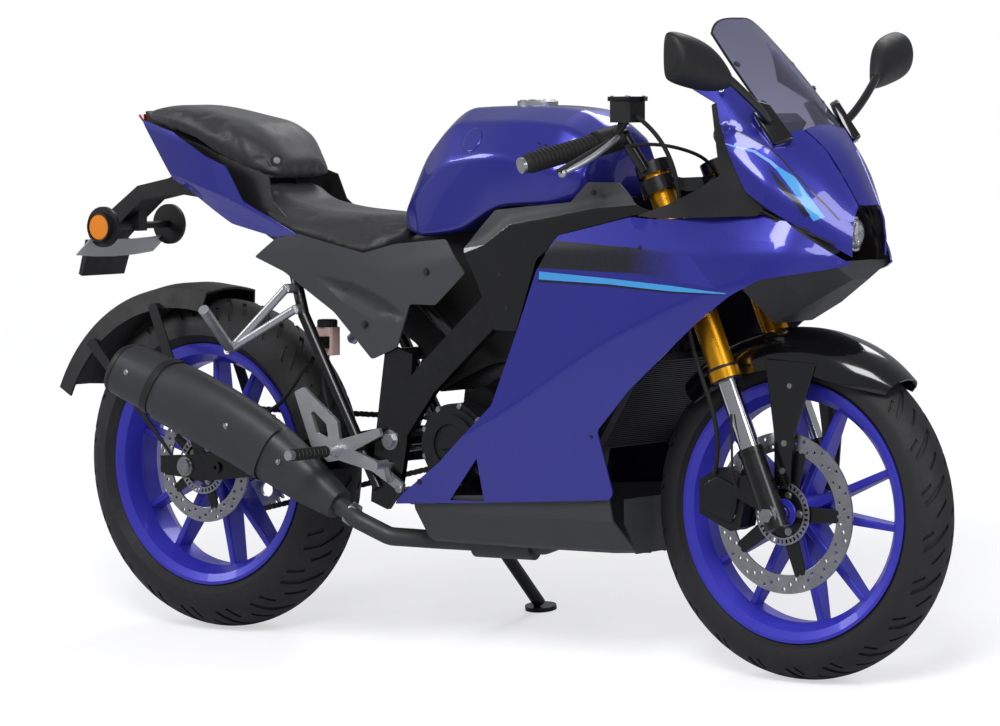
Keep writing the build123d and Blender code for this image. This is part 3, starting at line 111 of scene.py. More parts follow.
def material(name, base, metallic=0.0, rough=0.5, relief=None, tint=None, wear=0.0, coat=0.0, **extra):
    """A finish with its own grain: relief is (kind, size in mm, depth in mm), tint the colour it drifts to.

    A colour is a hex value, or one of the colours that the user may change, already linear.
    """
    mat = bpy.data.materials.get(name)
    if mat:
        return mat
    base, tint = (linear(c) if isinstance(c, str) else c for c in (base, tint))
    mat = bpy.data.materials.new(name)
    mat.use_nodes = True
    tree = mat.node_tree
    tree.nodes.clear()
    place = add(tree, "ShaderNodeTexCoord").outputs["Object"]
    shader = add(tree, "ShaderNodeBsdfPrincipled", {"Metallic": metallic, "Roughness": rough,
                                                    "Base Color": base})
    if coat:
        shader.inputs["Coat Weight"].default_value = coat
        shader.inputs["Coat Roughness"].default_value = 0.04
    for key, value in extra.items():
        shader.inputs[key.replace("_", " ")].default_value = value
    if tint:
        cloud = add(tree, "ShaderNodeTexNoise", {"Vector": place, "Scale": 1 / (DRIFT * MM), "Detail": 4.0,
                                                 "Roughness": 0.6})
        mix = add(tree, "ShaderNodeMix", {"Factor": cloud.outputs["Fac"], "A": base, "B": tint},
                  data_type="RGBA")
        tree.links.new(mix.outputs["Result"], shader.inputs["Base Color"])
    if wear:
        scuff = add(tree, "ShaderNodeTexNoise", {"Vector": place, "Scale": 1 / (SCUFF * MM), "Detail": 6.0,
                                                 "Roughness": 0.7})
        span = add(tree, "ShaderNodeMapRange", {"Value": scuff.outputs["Fac"], "From Min": 0.3,
                                                "From Max": 0.75, "To Min": max(rough - wear, 0.02),
                                                "To Max": rough + wear})
        tree.links.new(span.outputs["Result"], shader.inputs["Roughness"])
    if relief:
        kind, size, depth = relief
        grain = add(tree, kind, {"Vector": place, "Scale": 1 / (size * MM)})
        height = grain.outputs["Distance" if kind == "ShaderNodeTexVoronoi" else "Fac"]
        bump = add(tree, "ShaderNodeBump", {"Height": height, "Strength": 0.6, "Distance": depth * MM})
        tree.links.new(bump.outputs["Normal"], shader.inputs["Normal"])
    add(tree, "ShaderNodeOutputMaterial", {"Surface": shader.outputs["BSDF"]})
    return mat


NOISE, CELLS = "ShaderNodeTexNoise", "ShaderNodeTexVoronoi"


def violet_paint():
    """Two-coat metallic urethane on ABS: deep violet under a hard clear coat, so it mirrors the room."""
    return material("violet_metallic_urethane", chosen("paint"), 0.5, 0.36, (NOISE, 0.9, 0.004),
                    chosen("paint_drift"), coat=1.0)


def wheel_paint():
    """Satin powder coat on cast alloy: a soft sheen with a faint orange peel."""
    return material("violet_powder_coat", chosen("wheels"), 0.25, 0.38, (NOISE, 2.2, 0.02),
                    chosen("wheels_drift"), wear=0.06, coat=0.3)


def gloss_black():
    """Polished ABS: black glass-like skin."""
    return material("polished_black_abs", "#08080a", 0.0, 0.16, (NOISE, 3.0, 0.004), coat=0.6)


def black_plastic():
    """Moulded polypropylene with a fine spark-eroded grain."""
    return material("grained_black_polypropylene", "#141416", 0.0, 0.52, (CELLS, 0.9, 0.05), "#1a1a1c",
                    wear=0.08)


def grey_plastic():
    """Matt dark grey ABS panel with a fine leather grain."""
    return material("matt_grey_abs", "#3a3b3e", 0.0, 0.5, (CELLS, 0.7, 0.03), "#404145", wear=0.06)


def black_frame():
    """Semi-gloss enamel baked on steel tube."""
    return material("black_baked_enamel", "#0c0c0e", 0.1, 0.32, (NOISE, 1.6, 0.02), wear=0.08, coat=0.3)


def engine_black():
    """Black enamel on die-cast alloy: the sand-like skin of the casting shows through."""
    return material("black_enamel_on_casting", "#17181a", 0.35, 0.46, (NOISE, 0.8, 0.12), "#1f2022",
                    wear=0.12)


def muffler_grey():
    """Heat-resisting matt enamel on sheet steel."""
    return material("matt_heat_enamel", "#3f4043", 0.4, 0.48, (NOISE, 0.6, 0.03), "#47484b", wear=0.08)


def alloy():
    """Shot-blasted and anodised forging: pale grey with a fine pitted skin."""
    return material("shot_blasted_alloy", "#c4c5c9", 0.85, 0.38, (CELLS, 0.6, 0.04), "#b4b6ba", wear=0.1)


def gold_alloy():
    """Gold anodised tube: turned, so it has a satin sheen."""
    return material("gold_anodised_alloy", "#e09a1c", 0.9, 0.3, (NOISE, 0.5, 0.01), "#e8a62c", wear=0.06)


def chrome_tube():
    """Hard chrome, ground and polished."""
    return material("hard_chrome", "#d8dade", 1.0, 0.09, (NOISE, 4.0, 0.002))


def steel():
    """Ground stainless steel with fine wear marks."""
    return material("ground_stainless", "#b9babd", 0.95, 0.3, (NOISE, 0.4, 0.015), "#a4a6aa", wear=0.12)


def chain_steel():
    """Oiled roller chain: dull brown-grey steel."""
    return material("oiled_chain_steel", "#6b665e", 0.85, 0.42, (NOISE, 0.7, 0.03), "#4a463f", wear=0.12)


def fin_alloy():
    """Thin dark alloy fins."""
    return material("radiator_alloy", "#4b4c50", 0.7, 0.45, (NOISE, 0.5, 0.02), "#3d3e42")


def rubber():
    """Moulded grip rubber: soft black."""
    return material("moulded_grip_rubber", "#111112", 0.0, 0.72, (CELLS, 1.6, 0.12), "#161617")


def tyre_rubber():
    """Tyre compound: dark grey-black with a fine moulded skin."""
    return material("tyre_compound", "#1b1b1d", 0.0, 0.66, (NOISE, 0.7, 0.05), "#222224", wear=0.1)


def vinyl():
    """Grained seat vinyl: soft sheen over a leather grain of about a millimetre."""
    return material("grained_seat_vinyl", chosen("seat"), 0.0, 0.5, (CELLS, 1.1, 0.14),
                    chosen("seat_drift"), wear=0.08, Sheen_Weight=0.15)


def clear_lens():
    """Clear polycarbonate."""
    return material("clear_polycarbonate", "#f2f4f6", 0.0, 0.05, (NOISE, 6.0, 0.002),
                    Transmission_Weight=0.9, IOR=1.58)


def smoke_screen():
    """Smoke-tinted acrylic sheet, a few millimetres thick."""
    return material("smoke_acrylic", "#b9b9d6", 0.0, 0.06, (NOISE, 20.0, 0.002), Transmission_Weight=0.92,
                    IOR=1.2)


def red_lens():
    """Red acrylic lens."""
    return material("red_acrylic", "#8c0c14", 0.0, 0.12, (CELLS, 3.0, 0.1), coat=0.5)


def amber_lens():
    """Amber reflex lens: tiny prisms under a smooth skin."""
    return material("amber_reflex_acrylic", "#f08410", 0.0, 0.18, (CELLS, 2.4, 0.3), "#ff9a24", coat=0.6)


def reservoir_plastic():
    """Milky polyamide with a faint pink cast."""
    return material("milky_polyamide", "#e2c2bc", 0.0, 0.4, (NOISE, 2.0, 0.02), "#d8b4ae",
                    Subsurface_Weight=0.2)


def blue_film():
    """Printed vinyl film under clear coat: light sky blue."""
    return material("sky_blue_film", chosen("stripe"), 0.0, 0.3, (NOISE, 3.0, 0.002), "#48a8ee", coat=0.8)


def pale_film():
    """Thin pale edge line of the film."""
    return material("pale_blue_film", "#7fb2f2", 0.0, 0.3, (NOISE, 3.0, 0.002), coat=0.8)


def dark_line():
    """Black printed line and panel joint."""
    return material("black_printed_line", "#0c0c24", 0.0, 0.35, (NOISE, 3.0, 0.002), coat=0.5)


def pale_sheet():
    """Translucent pale sheet moulding."""
    return material("pale_polycarbonate_sheet", "#d9dce0", 0.0, 0.35, (NOISE, 4.0, 0.01),
                    Transmission_Weight=0.25)


def mirror_glass():
    """Silvered glass."""
    return material("silvered_glass", "#dfe3e8", 1.0, 0.03, (NOISE, 30.0, 0.001))


def graphic_film():
    """Black printed film that fades forward into the violet in a mist of fine dots."""
    mat = bpy.data.materials.get("black_fading_film")
    if mat:
        return mat
    mat = material("black_fading_film", "#0b0b10", 0.1, 0.3, (NOISE, 3.0, 0.002), coat=1.0)
    tree = mat.node_tree
    shader = next(n for n in tree.nodes if n.type == "BSDF_PRINCIPLED")
    place = add(tree, "ShaderNodeTexCoord").outputs["Object"]
    along = add(tree, "ShaderNodeSeparateXYZ", {0: place})
    start, end = at(1080, 0, 0).x, at(1225, 0, 0).x
    fade = add(tree, "ShaderNodeMapRange", {"Value": along.outputs["X"], "From Min": start, "From Max": end})
    grain = add(tree, "ShaderNodeTexNoise", {"Vector": place, "Scale": 1 / (4 * MM)})
    soft = add(tree, "ShaderNodeMath", {0: grain.outputs["Fac"], 1: 0.5, 2: fade.outputs["Result"]},
               operation="MULTIPLY_ADD")
    step = add(tree, "ShaderNodeMapRange", {"Value": soft.outputs[0], "From Min": 0.25, "From Max": 1.1})
    mix = add(tree, "ShaderNodeMix", {"Factor": step.outputs["Result"], "A": linear("#0b0b10"),
                                      "B": chosen("paint")}, data_type="RGBA")
    tree.links.new(mix.outputs["Result"], shader.inputs["Base Color"])
    return mat


FINISH = {"violet_paint": violet_paint, "wheel_paint": wheel_paint, "gloss_black": gloss_black,
          "black_plastic": black_plastic, "grey_plastic": grey_plastic, "black_frame": black_frame,
          "engine_black": engine_black, "muffler_grey": muffler_grey, "alloy": alloy,
          "gold_alloy": gold_alloy, "chrome_tube": chrome_tube, "steel": steel, "chain_steel": chain_steel,
          "rubber": rubber, "tyre": tyre_rubber, "seat_cover": vinyl, "clear_lens": clear_lens,
          "smoke_screen": smoke_screen, "red_lens": red_lens, "amber_lens": amber_lens,
          "reservoir": reservoir_plastic, "fin_alloy": fin_alloy, "blue_film": blue_film,
          "pale_film": pale_film, "dark_line": dark_line, "graphic_film": graphic_film,
          "pale_sheet": pale_sheet, "mirror_glass": mirror_glass, }
SLOT_OF = {s["node"]: s["material_slot"] for s in frame["record"]["subparts"]}


def dress(obj, slot, body=None, replaces=()):
    """Gives a new piece its finish, its body and the CAD nodes that it stands for."""
    obj.data.materials.clear()
    obj.data.materials.append(FINISH[slot]())
    if body:
        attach(obj, body)
    if replaces:
        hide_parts(*replaces)
    return obj


# ---- Settings that a user would change
class BikeSizes(bpy.types.PropertyGroup):
    """Sizes of the parts that are easily changed"""
    seat_puff: bpy.props.FloatProperty(name="Seat puff",
                                       description="How far the seats' filling may swell, in mm", default=7,
                                       min=0, max=16)
    tread_depth: bpy.props.FloatProperty(name="Tread depth", description="Depth of the tyres' grooves, in mm",
                                         default=4, min=1, max=8)


def colour_setting(name, code, description):
    """A colour property whose default is an sRGB hex value."""
    return bpy.props.FloatVectorProperty(name=name, description=description, subtype="COLOR", size=3, min=0,
                                         max=1, default=linear(code)[:3])


class BikeColours(bpy.types.PropertyGroup):
    """Colours that are easily changed; each drift is the colour that its finish wanders to in soft patches"""
    paint: colour_setting("Paint", "#2a2a9c", "Paint of the fairing, nose, tank and tail")
    paint_drift: colour_setting("Paint drift", "#2e30a4", "Second colour of the paint")
    wheels: colour_setting("Wheels", "#3a38c0", "Powder coat of the wheels")
    wheels_drift: colour_setting("Wheels drift", "#413fca", "Second colour of the wheels")
    stripe: colour_setting("Stripe", "#3f9fe6", "Film of the side and nose stripes")
    seat: colour_setting("Seat", "#2e2e31", "Vinyl of the two seats")
    seat_drift: colour_setting("Seat drift", "#29292c", "Second colour of the vinyl")


class BIKE_OT_finishes(bpy.types.Operator):
    """Give every CAD piece its finish"""
    bl_idname = "bike.finishes"
    bl_label = "Finishes"

    def execute(self, context):
        for name, obj in frame["nodes"].items():
            obj.data.materials.clear()
            obj.data.materials.append(FINISH[SLOT_OF[name]]())
        return {"FINISHED"}


# ---- Building helpers: every point below is in the upright bike's millimetres
def finish_mesh(obj, outward=True):
    """Bakes an object's modifiers into a plain mesh whose faces point outward."""
    graph = bpy.context.evaluated_depsgraph_get()
    mesh = bpy.data.meshes.new_from_object(obj.evaluated_get(graph), depsgraph=graph)
    if outward:
        work = bmesh.new()
        work.from_mesh(mesh)
        bmesh.ops.recalc_face_normals(work, faces=work.faces)
        work.to_mesh(mesh)
        work.free()
    if obj.type != "MESH":
        name, users = obj.name, obj.users_collection
        bpy.data.objects.remove(obj)
        obj = bpy.data.objects.new(name, mesh)
        bpy.context.scene.collection.objects.link(obj)
        return obj
    obj.modifiers.clear()
    obj.data = mesh
    return obj


def new_mesh(name, points, faces):
    """A mesh object from points in the bike's millimetres."""
    mesh = bpy.data.meshes.new(name)
    mesh.from_pydata([at(*p) for p in points], [], faces)
    obj = bpy.data.objects.new(name, mesh)
    bpy.context.scene.collection.objects.link(obj)
    return obj


def hull(name, points):
    """The smallest convex form that holds the points."""
    obj = new_mesh(name, points, [])
    mesh = bmesh.new()
    mesh.from_mesh(obj.data)
    made = bmesh.ops.convex_hull(mesh, input=mesh.verts)
    spare = {v for v in made["geom_interior"] + made["geom_unused"] if isinstance(v, bmesh.types.BMVert)}
    bmesh.ops.delete(mesh, geom=list(spare), context="VERTS")
    mesh.to_mesh(obj.data)
    mesh.free()
    return obj


def smooth(obj, angle=35):
    """Smooth shading, kept sharp at edges above the angle."""
    mesh = obj.data
    mesh.shade_smooth()
    work = bmesh.new()
    work.from_mesh(mesh)
    for edge in work.edges:
        if len(edge.link_faces) == 2:
            edge.smooth = edge.calc_face_angle(0) < radians(angle)
    work.to_mesh(mesh)
    work.free()
    return obj


def eased(xs, ys, x):
    """Value at x on the smooth curve through the points, which never overshoots them."""
    if x <= xs[0]:
        return ys[0]
    if x >= xs[-1]:
        return ys[-1]
    i = bisect_right(xs, x) - 1
    widths = [b - a for a, b in zip(xs, xs[1:])]
    rises = [(b - a) / w for a, b, w in zip(ys, ys[1:], widths)]

    def slope(k):
        if k in (0, len(rises)):
            return rises[max(k - 1, 0)]
        before, after = rises[k - 1], rises[k]
        return 0 if before * after <= 0 else 2 * before * after / (before + after)

    w = widths[i]
    t = (x - xs[i]) / w
    return ((2 * t ** 3 - 3 * t * t + 1) * ys[i] + (t ** 3 - 2 * t * t + t) * w * slope(i)
            + (3 * t * t - 2 * t ** 3) * ys[i + 1] + (t ** 3 - t * t) * w * slope(i + 1))


def section_at(stations, x):
    """The chain of (y, z) points at x, each one running smoothly from station to station."""
    xs = [s[0] for s in stations]
    return [tuple(eased(xs, [s[1][k][a] for s in stations], x) for a in (0, 1))
            for k in range(len(stations[0][1]))]


def width_at(chain, z, soft):
    """Width of a chain at height z, its corners eased over soft mm each way."""
    total = 0
    for step in (-1, -0.5, 0, 0.5, 1):
        h = min(max(z + step * soft, chain[-1][1]), chain[0][1])
        for (y0, z0), (y1, z1) in zip(chain, chain[1:]):
            if z1 <= h <= z0:
                total += y0 + (y1 - y0) * (z0 - h) / max(z0 - z1, 1e-6)
                break
        else:
            total += chain[-1][0]
    return total / 5


def rounded(points, radius, steps=5):
    """A closed outline with its corners rounded."""
    out = []
    n = len(points)
    for i in range(n):
        a, b, c = (Vector(points[k % n]) for k in (i - 1, i, i + 1))
        into, away = (a - b), (c - b)
        cut = min(radius, into.length * 0.45, away.length * 0.45)
        start, end = b + into.normalized() * cut, b + away.normalized() * cut
        for k in range(steps + 1):
            t = k / steps
            out.append(tuple((1 - t) ** 2 * start + 2 * t * (1 - t) * b + t * t * end))
    return out


def inside(point, outline):
    """Whether an (x, z) point lies inside a closed outline."""
    x, z = point
    hit = False
    for (x0, z0), (x1, z1) in zip(outline, outline[1:] + outline[:1]):
        if (z0 > z) != (z1 > z) and x < x0 + (x1 - x0) * (z - z0) / (z1 - z0):
            hit = not hit
    return hit


def divided(a, b, step, last=0):
    """Points along a straight line, about a step apart; with last = 1 its end is among them."""
    count = max(1, round(hypot(b[0] - a[0], b[1] - a[1]) / step))
    return [(a[0] + (b[0] - a[0]) * k / count, a[1] + (b[1] - a[1]) * k / count) for k in range(count + last)]


def divided_loop(loop, step):
    """Points round a closed loop, about a step apart."""
    return [p for a, b in zip(loop, loop[1:] + loop[:1]) for p in divided(a, b, step)]


def cut_sheet(outline, areas=(), holes=(), step=9, lines=()):
    """Fills an outline with small triangles whose edges follow it, its painted areas and its holes."""
    loops = [outline, *areas, *holes]
    points, edges = [], []
    for loop in loops:
        fine = divided_loop(loop, step)
        first = len(points)
        points += fine
        edges += [(first + k, first + (k + 1) % len(fine)) for k in range(len(fine))]
    for line in lines:
        for a, b in zip(line, line[1:]):
            fine = divided(a, b, step, 1)
            first = len(points)
            points += fine
            edges += [(first + k, first + k + 1) for k in range(len(fine) - 1)]
    low = [min(p[a] for p in outline) for a in (0, 1)]
    high = [max(p[a] for p in outline) for a in (0, 1)]
    rows = int((high[1] - low[1]) / step)
    for row in range(rows + 1):
        z = low[1] + row * step
        for column in range(int((high[0] - low[0]) / step) + 1):
            x = low[0] + (column + 0.5 * (row % 2)) * step
            if inside((x, z), outline):
                points.append((x, z))
    done = geometry.delaunay_2d_cdt([Vector(p) for p in points], edges, [], 0, 0.01)
    kept = []
    for face in done[2]:
        middle = sum((done[0][k] for k in face), Vector((0, 0))) / len(face)
        spot = tuple(middle)
        if inside(spot, outline) and not any(inside(spot, hole) for hole in holes):
            paint = 0
            for k, area in enumerate(areas):
                if inside(spot, area):
                    paint = k + 1
            kept.append((tuple(face), paint))
    return [tuple(v) for v in done[0]], kept


def from_line(point, line):
    """Distance of an (x, z) point from an open line."""
    best = 1e9
    p = Vector(point)
    for a, b in zip(line, line[1:]):
        a, b = Vector(a), Vector(b)
        run = b - a
        t = min(max((p - a).dot(run) / max(run.length_squared, 1e-9), 0), 1)
        best = min(best, (p - a - run * t).length)
    return best


def skin(name, stations, outline, slot, replaces=(), areas=(), paints=(), holes=(), soft=6, wall=3,
         hands=(1, -1), step=9, body="frame", folds=()):
    """A moulded panel: an outline seen from the side, lying on the surface drawn by its stations.

    The stations hold right-hand chains of (y, z); the left-hand panel is its mirror image. A fold is
    (line, far line, slope, depth): from its line on, the panel sinks inward at that slope down to its
    depth, and comes back at the far line.
    """
    flat, faces = cut_sheet(outline, areas, holes, step, [line for fold in folds for line in fold[:2]])
    cache = {}
    spots = []
    for x, z in flat:
        key = round(x, 1)
        if key not in cache:
            cache[key] = section_at(stations, x)
        y = width_at(cache[key], z, soft)
        for line, far, slope, depth in folds:
            if inside((x, z), line + far[::-1]):
                y += min(depth, slope * from_line((x, z), line)) * min(1, from_line((x, z), far) / 12)
        spots.append((x, y, z))
    points, polygons, marks = [], [], []
    for hand in hands:
        first = len(points)
        points += [(x, y * hand, z) for x, y, z in spots]
        for face, paint in faces:
            ring = face if hand > 0 else tuple(reversed(face))
            polygons.append(tuple(first + k for k in ring))
            marks.append(paint)
    obj = new_mesh(name, points, polygons)
    dress(obj, slot, body, replaces)
    for paint in paints:
        obj.data.materials.append(FINISH[paint]() if isinstance(paint, str) else paint())
    obj.data.polygons.foreach_set("material_index", marks)
    if wall:
        thick = obj.modifiers.new("wall", "SOLIDIFY")
        thick.thickness = wall * MM
        thick.offset = -1
        if slot == "violet_paint":
            # only the outside is painted: the plastic behind stays black
            obj.data.materials.append(FINISH["dark_line"]())
            thick.material_offset = len(obj.data.materials)
    obj = finish_mesh(obj, outward=False)
    return smooth(obj, 40)


def tube_faces(rings, n):
    """Faces of a tube through so many rings of n points each, with a lid on both ends."""
    sides = [(i * n + k, i * n + (k + 1) % n, (i + 1) * n + (k + 1) % n, (i + 1) * n + k)
             for i in range(rings - 1) for k in range(n)]
    return sides + [tuple(range(n)), tuple((rings - 1) * n + k for k in reversed(range(n)))]


def moulded(name, stations, slot, replaces=(), radius=12, end=8, count=40, body="frame"):
    """A closed form through mirrored cross sections, with its corners and its two ends rounded."""
    x0, x1 = stations[0][0], stations[-1][0]
    turns = [radians(90) * k / 4 for k in range(5)]
    places = [(x0 + end * (1 - sin(a)), end * (1 - cos(a))) for a in reversed(turns)]
    places += [(x0 + end + (x1 - x0 - 2 * end) * k / count, 0) for k in range(1, count)]
    places += [(x1 - end * (1 - sin(a)), end * (1 - cos(a))) for a in turns]
    rows = []
    for x, shrink in places:
        chain = section_at(stations, x)
        ring = rounded([(y, z) for y, z in chain] + [(-y, z) for y, z in reversed(chain)], radius, 5)
        cy, cz = (sum(p[a] for p in ring) / len(ring) for a in (0, 1))
        row = []
        for y, z in ring:
            reach = max(hypot(y - cy, z - cz), 1e-6)
            keep = max(0.1, 1 - shrink / reach)
            row.append((x, cy + (y - cy) * keep, cz + (z - cz) * keep))
        rows.append(row)
    obj = new_mesh(name, [p for row in rows for p in row], tube_faces(len(rows), len(rows[0])))
    dress(obj, slot, body, replaces)
    return smooth(finish_mesh(obj), 38)


def laid(obj, target, gap, wall=2.5):
    """Lays a flat piece on another one's surface, so far above it, and gives it a wall."""
    wrap = obj.modifiers.new("laid", "SHRINKWRAP")
    wrap.target = target
    wrap.wrap_method = "NEAREST_SURFACEPOINT"
    wrap.wrap_mode = "ABOVE_SURFACE"
    wrap.offset = gap * MM
    thick = obj.modifiers.new("wall", "SOLIDIFY")
    thick.thickness = wall * MM
    thick.offset = -1
    return finish_mesh(obj, outward=False)


def turned(name, centre, profile, slot, replaces=(), body="frame", steps=96, closed=True):
    """A form turned about the bike's cross axis through centre: the profile is (y, radius) points."""
    points, faces = [], []
    n = len(profile)
    for i in range(steps):
        a = 2 * pi * i / steps
        points += [(centre[0] + r * cos(a), centre[1] + y, centre[2] + r * sin(a)) for y, r in profile]
    for i in range(steps):
        j = (i + 1) % steps
        faces += [(i * n + k, i * n + (k + 1) % n, j * n + (k + 1) % n, j * n + k)
                  for k in range(n if closed else n - 1)]
    obj = new_mesh(name, points, faces)
    dress(obj, slot, body, replaces)
    return smooth(finish_mesh(obj), 30)


def pipe(name, points, radius, slot, body="frame", replaces=(), soft=True, steps=10):
    """A round tube, hose or cable along the points; soft ones curve, the others bend at their points."""
    curve = bpy.data.curves.new(name, "CURVE")
    curve.dimensions = "3D"
    spline = curve.splines.new("NURBS" if soft else "POLY")
    spline.points.add(len(points) - 1)
    for spot, p in zip(spline.points, points):
        spot.co = (*at(*p), 1)
    if soft:
        spline.order_u = min(4, len(points))
        spline.use_endpoint_u = True
        spline.resolution_u = 8
    curve.bevel_depth = radius * MM
    curve.bevel_resolution = steps // 2 - 1
    curve.use_fill_caps = True
    obj = bpy.data.objects.new(name, curve)
    bpy.context.scene.collection.objects.link(obj)
    obj = finish_mesh(obj)
    dress(obj, slot, body, replaces)
    return smooth(obj, 40)


def merged(name, pieces, weld=0.0):
    """Joins pieces that share a body and a finish into one, welding points closer than weld mm."""
    first = pieces[0]
    work = bmesh.new()
    for piece in pieces:
        work.from_mesh(piece.data)
    if weld:
        bmesh.ops.remove_doubles(work, verts=work.verts, dist=weld * MM)
    work.to_mesh(first.data)
    work.free()
    first.name = name
    for piece in pieces[1:]:
        bpy.data.objects.remove(piece)
    return first


def slab(name, outline, near, far, slot, body="frame", replaces=(), holes=(), bevel=1.5, radius=0):
    """A flat plate cut to an (x, z) outline between two widths, with eased edges."""
    curve = bpy.data.curves.new(name, "CURVE")
    curve.dimensions = "2D"
    curve.fill_mode = "BOTH"
    for loop in (rounded(outline, radius) if radius else outline, *holes):
        spline = curve.splines.new("POLY")
        spline.points.add(len(loop) - 1)
        for spot, (x, z) in zip(spline.points, loop):
            spot.co = (x, z, 0, 1)
        spline.use_cyclic_u = True
    half = abs(near - far) / 2
    curve.extrude = max(half - bevel, 0.1)
    curve.bevel_depth = bevel
    curve.offset = -bevel
    curve.bevel_resolution = 1
    obj = bpy.data.objects.new(name, curve)
    bpy.context.scene.collection.objects.link(obj)
    obj = finish_mesh(obj)
    middle = (near + far) / 2
    for v in obj.data.vertices:
        v.co = at(v.co.x, middle - v.co.z, v.co.y)
    dress(obj, slot, body, replaces)
    return smooth(finish_mesh(obj), 30)


def circle(x, z, radius, steps=24):
    """A round outline."""
    return [(x + radius * cos(2 * pi * k / steps), z + radius * sin(2 * pi * k / steps))
            for k in range(steps)]


def node_group(name, sockets):
    """A new geometry group with named inputs; returns it with its input and output nodes."""
    group = bpy.data.node_groups.new(name, "GeometryNodeTree")
    group.interface.new_socket("Geometry", in_out="INPUT", socket_type="NodeSocketGeometry")
    group.interface.new_socket("Geometry", in_out="OUTPUT", socket_type="NodeSocketGeometry")
    for label, kind, value in sockets:
        socket = group.interface.new_socket(label, in_out="INPUT", socket_type=kind)
        if value is not None:
            socket.default_value = value
    return group, group.nodes.new("NodeGroupInput").outputs, group.nodes.new("NodeGroupOutput").inputs


def repeat_group():
    """Repeats a piece round an axis: named inputs give how many, about which point and which direction."""
    name = "repeat_round_axis"
    if name in bpy.data.node_groups:
        return bpy.data.node_groups[name]
    group, given, result = node_group(name, (("Count", "NodeSocketInt", 12),
                                             ("Centre", "NodeSocketVector", None),
                                             ("Axis", "NodeSocketVector", None),
                                             ("Weld", "NodeSocketFloat", 0.0),
                                             ("Material", "NodeSocketMaterial", None)))
    centred = add(group, "GeometryNodeTransform",
                  {"Geometry": given["Geometry"],
                   "Translation": add(group, "ShaderNodeVectorMath", {0: given["Centre"], "Scale": -1.0},
                                      operation="SCALE").outputs["Vector"]})
    spots = add(group, "GeometryNodePoints", {"Count": given["Count"], "Position": given["Centre"]})
    index = add(group, "GeometryNodeInputIndex")
    part = add(group, "ShaderNodeMath", {0: index.outputs[0], 1: given["Count"]}, operation="DIVIDE")
    turn = add(group, "ShaderNodeMath", {0: part.outputs[0], 1: 2 * pi}, operation="MULTIPLY")
    spin = add(group, "FunctionNodeAxisAngleToRotation", {"Axis": given["Axis"], "Angle": turn.outputs[0]})
    copies = add(group, "GeometryNodeInstanceOnPoints",
                 {"Points": spots.outputs[0], "Instance": centred.outputs[0], "Rotation": spin.outputs[0]})
    real = add(group, "GeometryNodeRealizeInstances", {"Geometry": copies.outputs[0]})
    joined = add(group, "GeometryNodeMergeByDistance", {"Geometry": real.outputs[0],
                                                        "Distance": given["Weld"]})
    painted = add(group, "GeometryNodeSetMaterial", {"Geometry": joined.outputs[0],
                                                     "Material": given["Material"]})
    group.links.new(painted.outputs[0], result["Geometry"])
    return group


def use_group(obj, group, slot, **inputs):
    """Runs a geometry group on a piece with its named inputs and keeps the plain mesh."""
    mod = obj.modifiers.new("repeat", "NODES")
    mod.node_group = group
    ids = {s.name: s.identifier for s in group.interface.items_tree if getattr(s, "in_out", "") == "INPUT"}
    for key, value in inputs.items():
        mod[ids[key]] = value
    mod[ids["Material"]] = FINISH[slot]()
    obj.update_tag()
    obj = finish_mesh(obj, outward=False)
    obj.data.materials.clear()
    obj.data.materials.append(FINISH[slot]())
    return obj


def around(obj, count, centre, slot, axis=(0, 1, 0), weld=0.0):
    """Repeats a piece round a point of the bike, about one of the bike's directions."""
    turn = BIKE.to_3x3() @ Vector(axis)
    return use_group(obj, repeat_group(), slot, Count=count, Centre=at(*centre), Axis=turn.normalized(),
                     Weld=weld * MM)


def screw_group():
    """Sets a screw head on every point, along its own direction and to its own size."""
    name = "screw_heads"
    if name in bpy.data.node_groups:
        return bpy.data.node_groups[name]
    group, given, result = node_group(name, (("Sides", "NodeSocketInt", 6),
                                             ("Height", "NodeSocketFloat", 0.7),
                                             ("Material", "NodeSocketMaterial", None)))
    head = add(group, "GeometryNodeMeshCylinder", {"Vertices": given["Sides"], "Radius": 1.0,
                                                   "Depth": given["Height"]})
    base = add(group, "GeometryNodeMeshCylinder", {"Vertices": 20, "Radius": 1.45, "Depth": 0.22})
    low = add(group, "GeometryNodeTransform", {"Geometry": base.outputs["Mesh"],
                                               "Translation": (0, 0, -0.25)})
    both = group.nodes.new("GeometryNodeJoinGeometry")
    for part in (head.outputs["Mesh"], low.outputs[0]):
        group.links.new(part, both.inputs[0])
    facing = add(group, "GeometryNodeInputNamedAttribute", {"Name": "facing"}, data_type="FLOAT_VECTOR")
    size = add(group, "GeometryNodeInputNamedAttribute", {"Name": "size"}, data_type="FLOAT")
    turn = add(group, "FunctionNodeAlignRotationToVector", {"Vector": facing.outputs[0]}, axis="Z")
    spots = add(group, "GeometryNodeMeshToPoints", {"Mesh": given["Geometry"]})
    copies = add(group, "GeometryNodeInstanceOnPoints",
                 {"Points": spots.outputs[0], "Instance": both.outputs[0], "Rotation": turn.outputs[0],
                  "Scale": size.outputs[0]})
    real = add(group, "GeometryNodeRealizeInstances", {"Geometry": copies.outputs[0]})
    painted = add(group, "GeometryNodeSetMaterial", {"Geometry": real.outputs[0],
                                                     "Material": given["Material"]})
    group.links.new(painted.outputs[0], result["Geometry"])
    return group


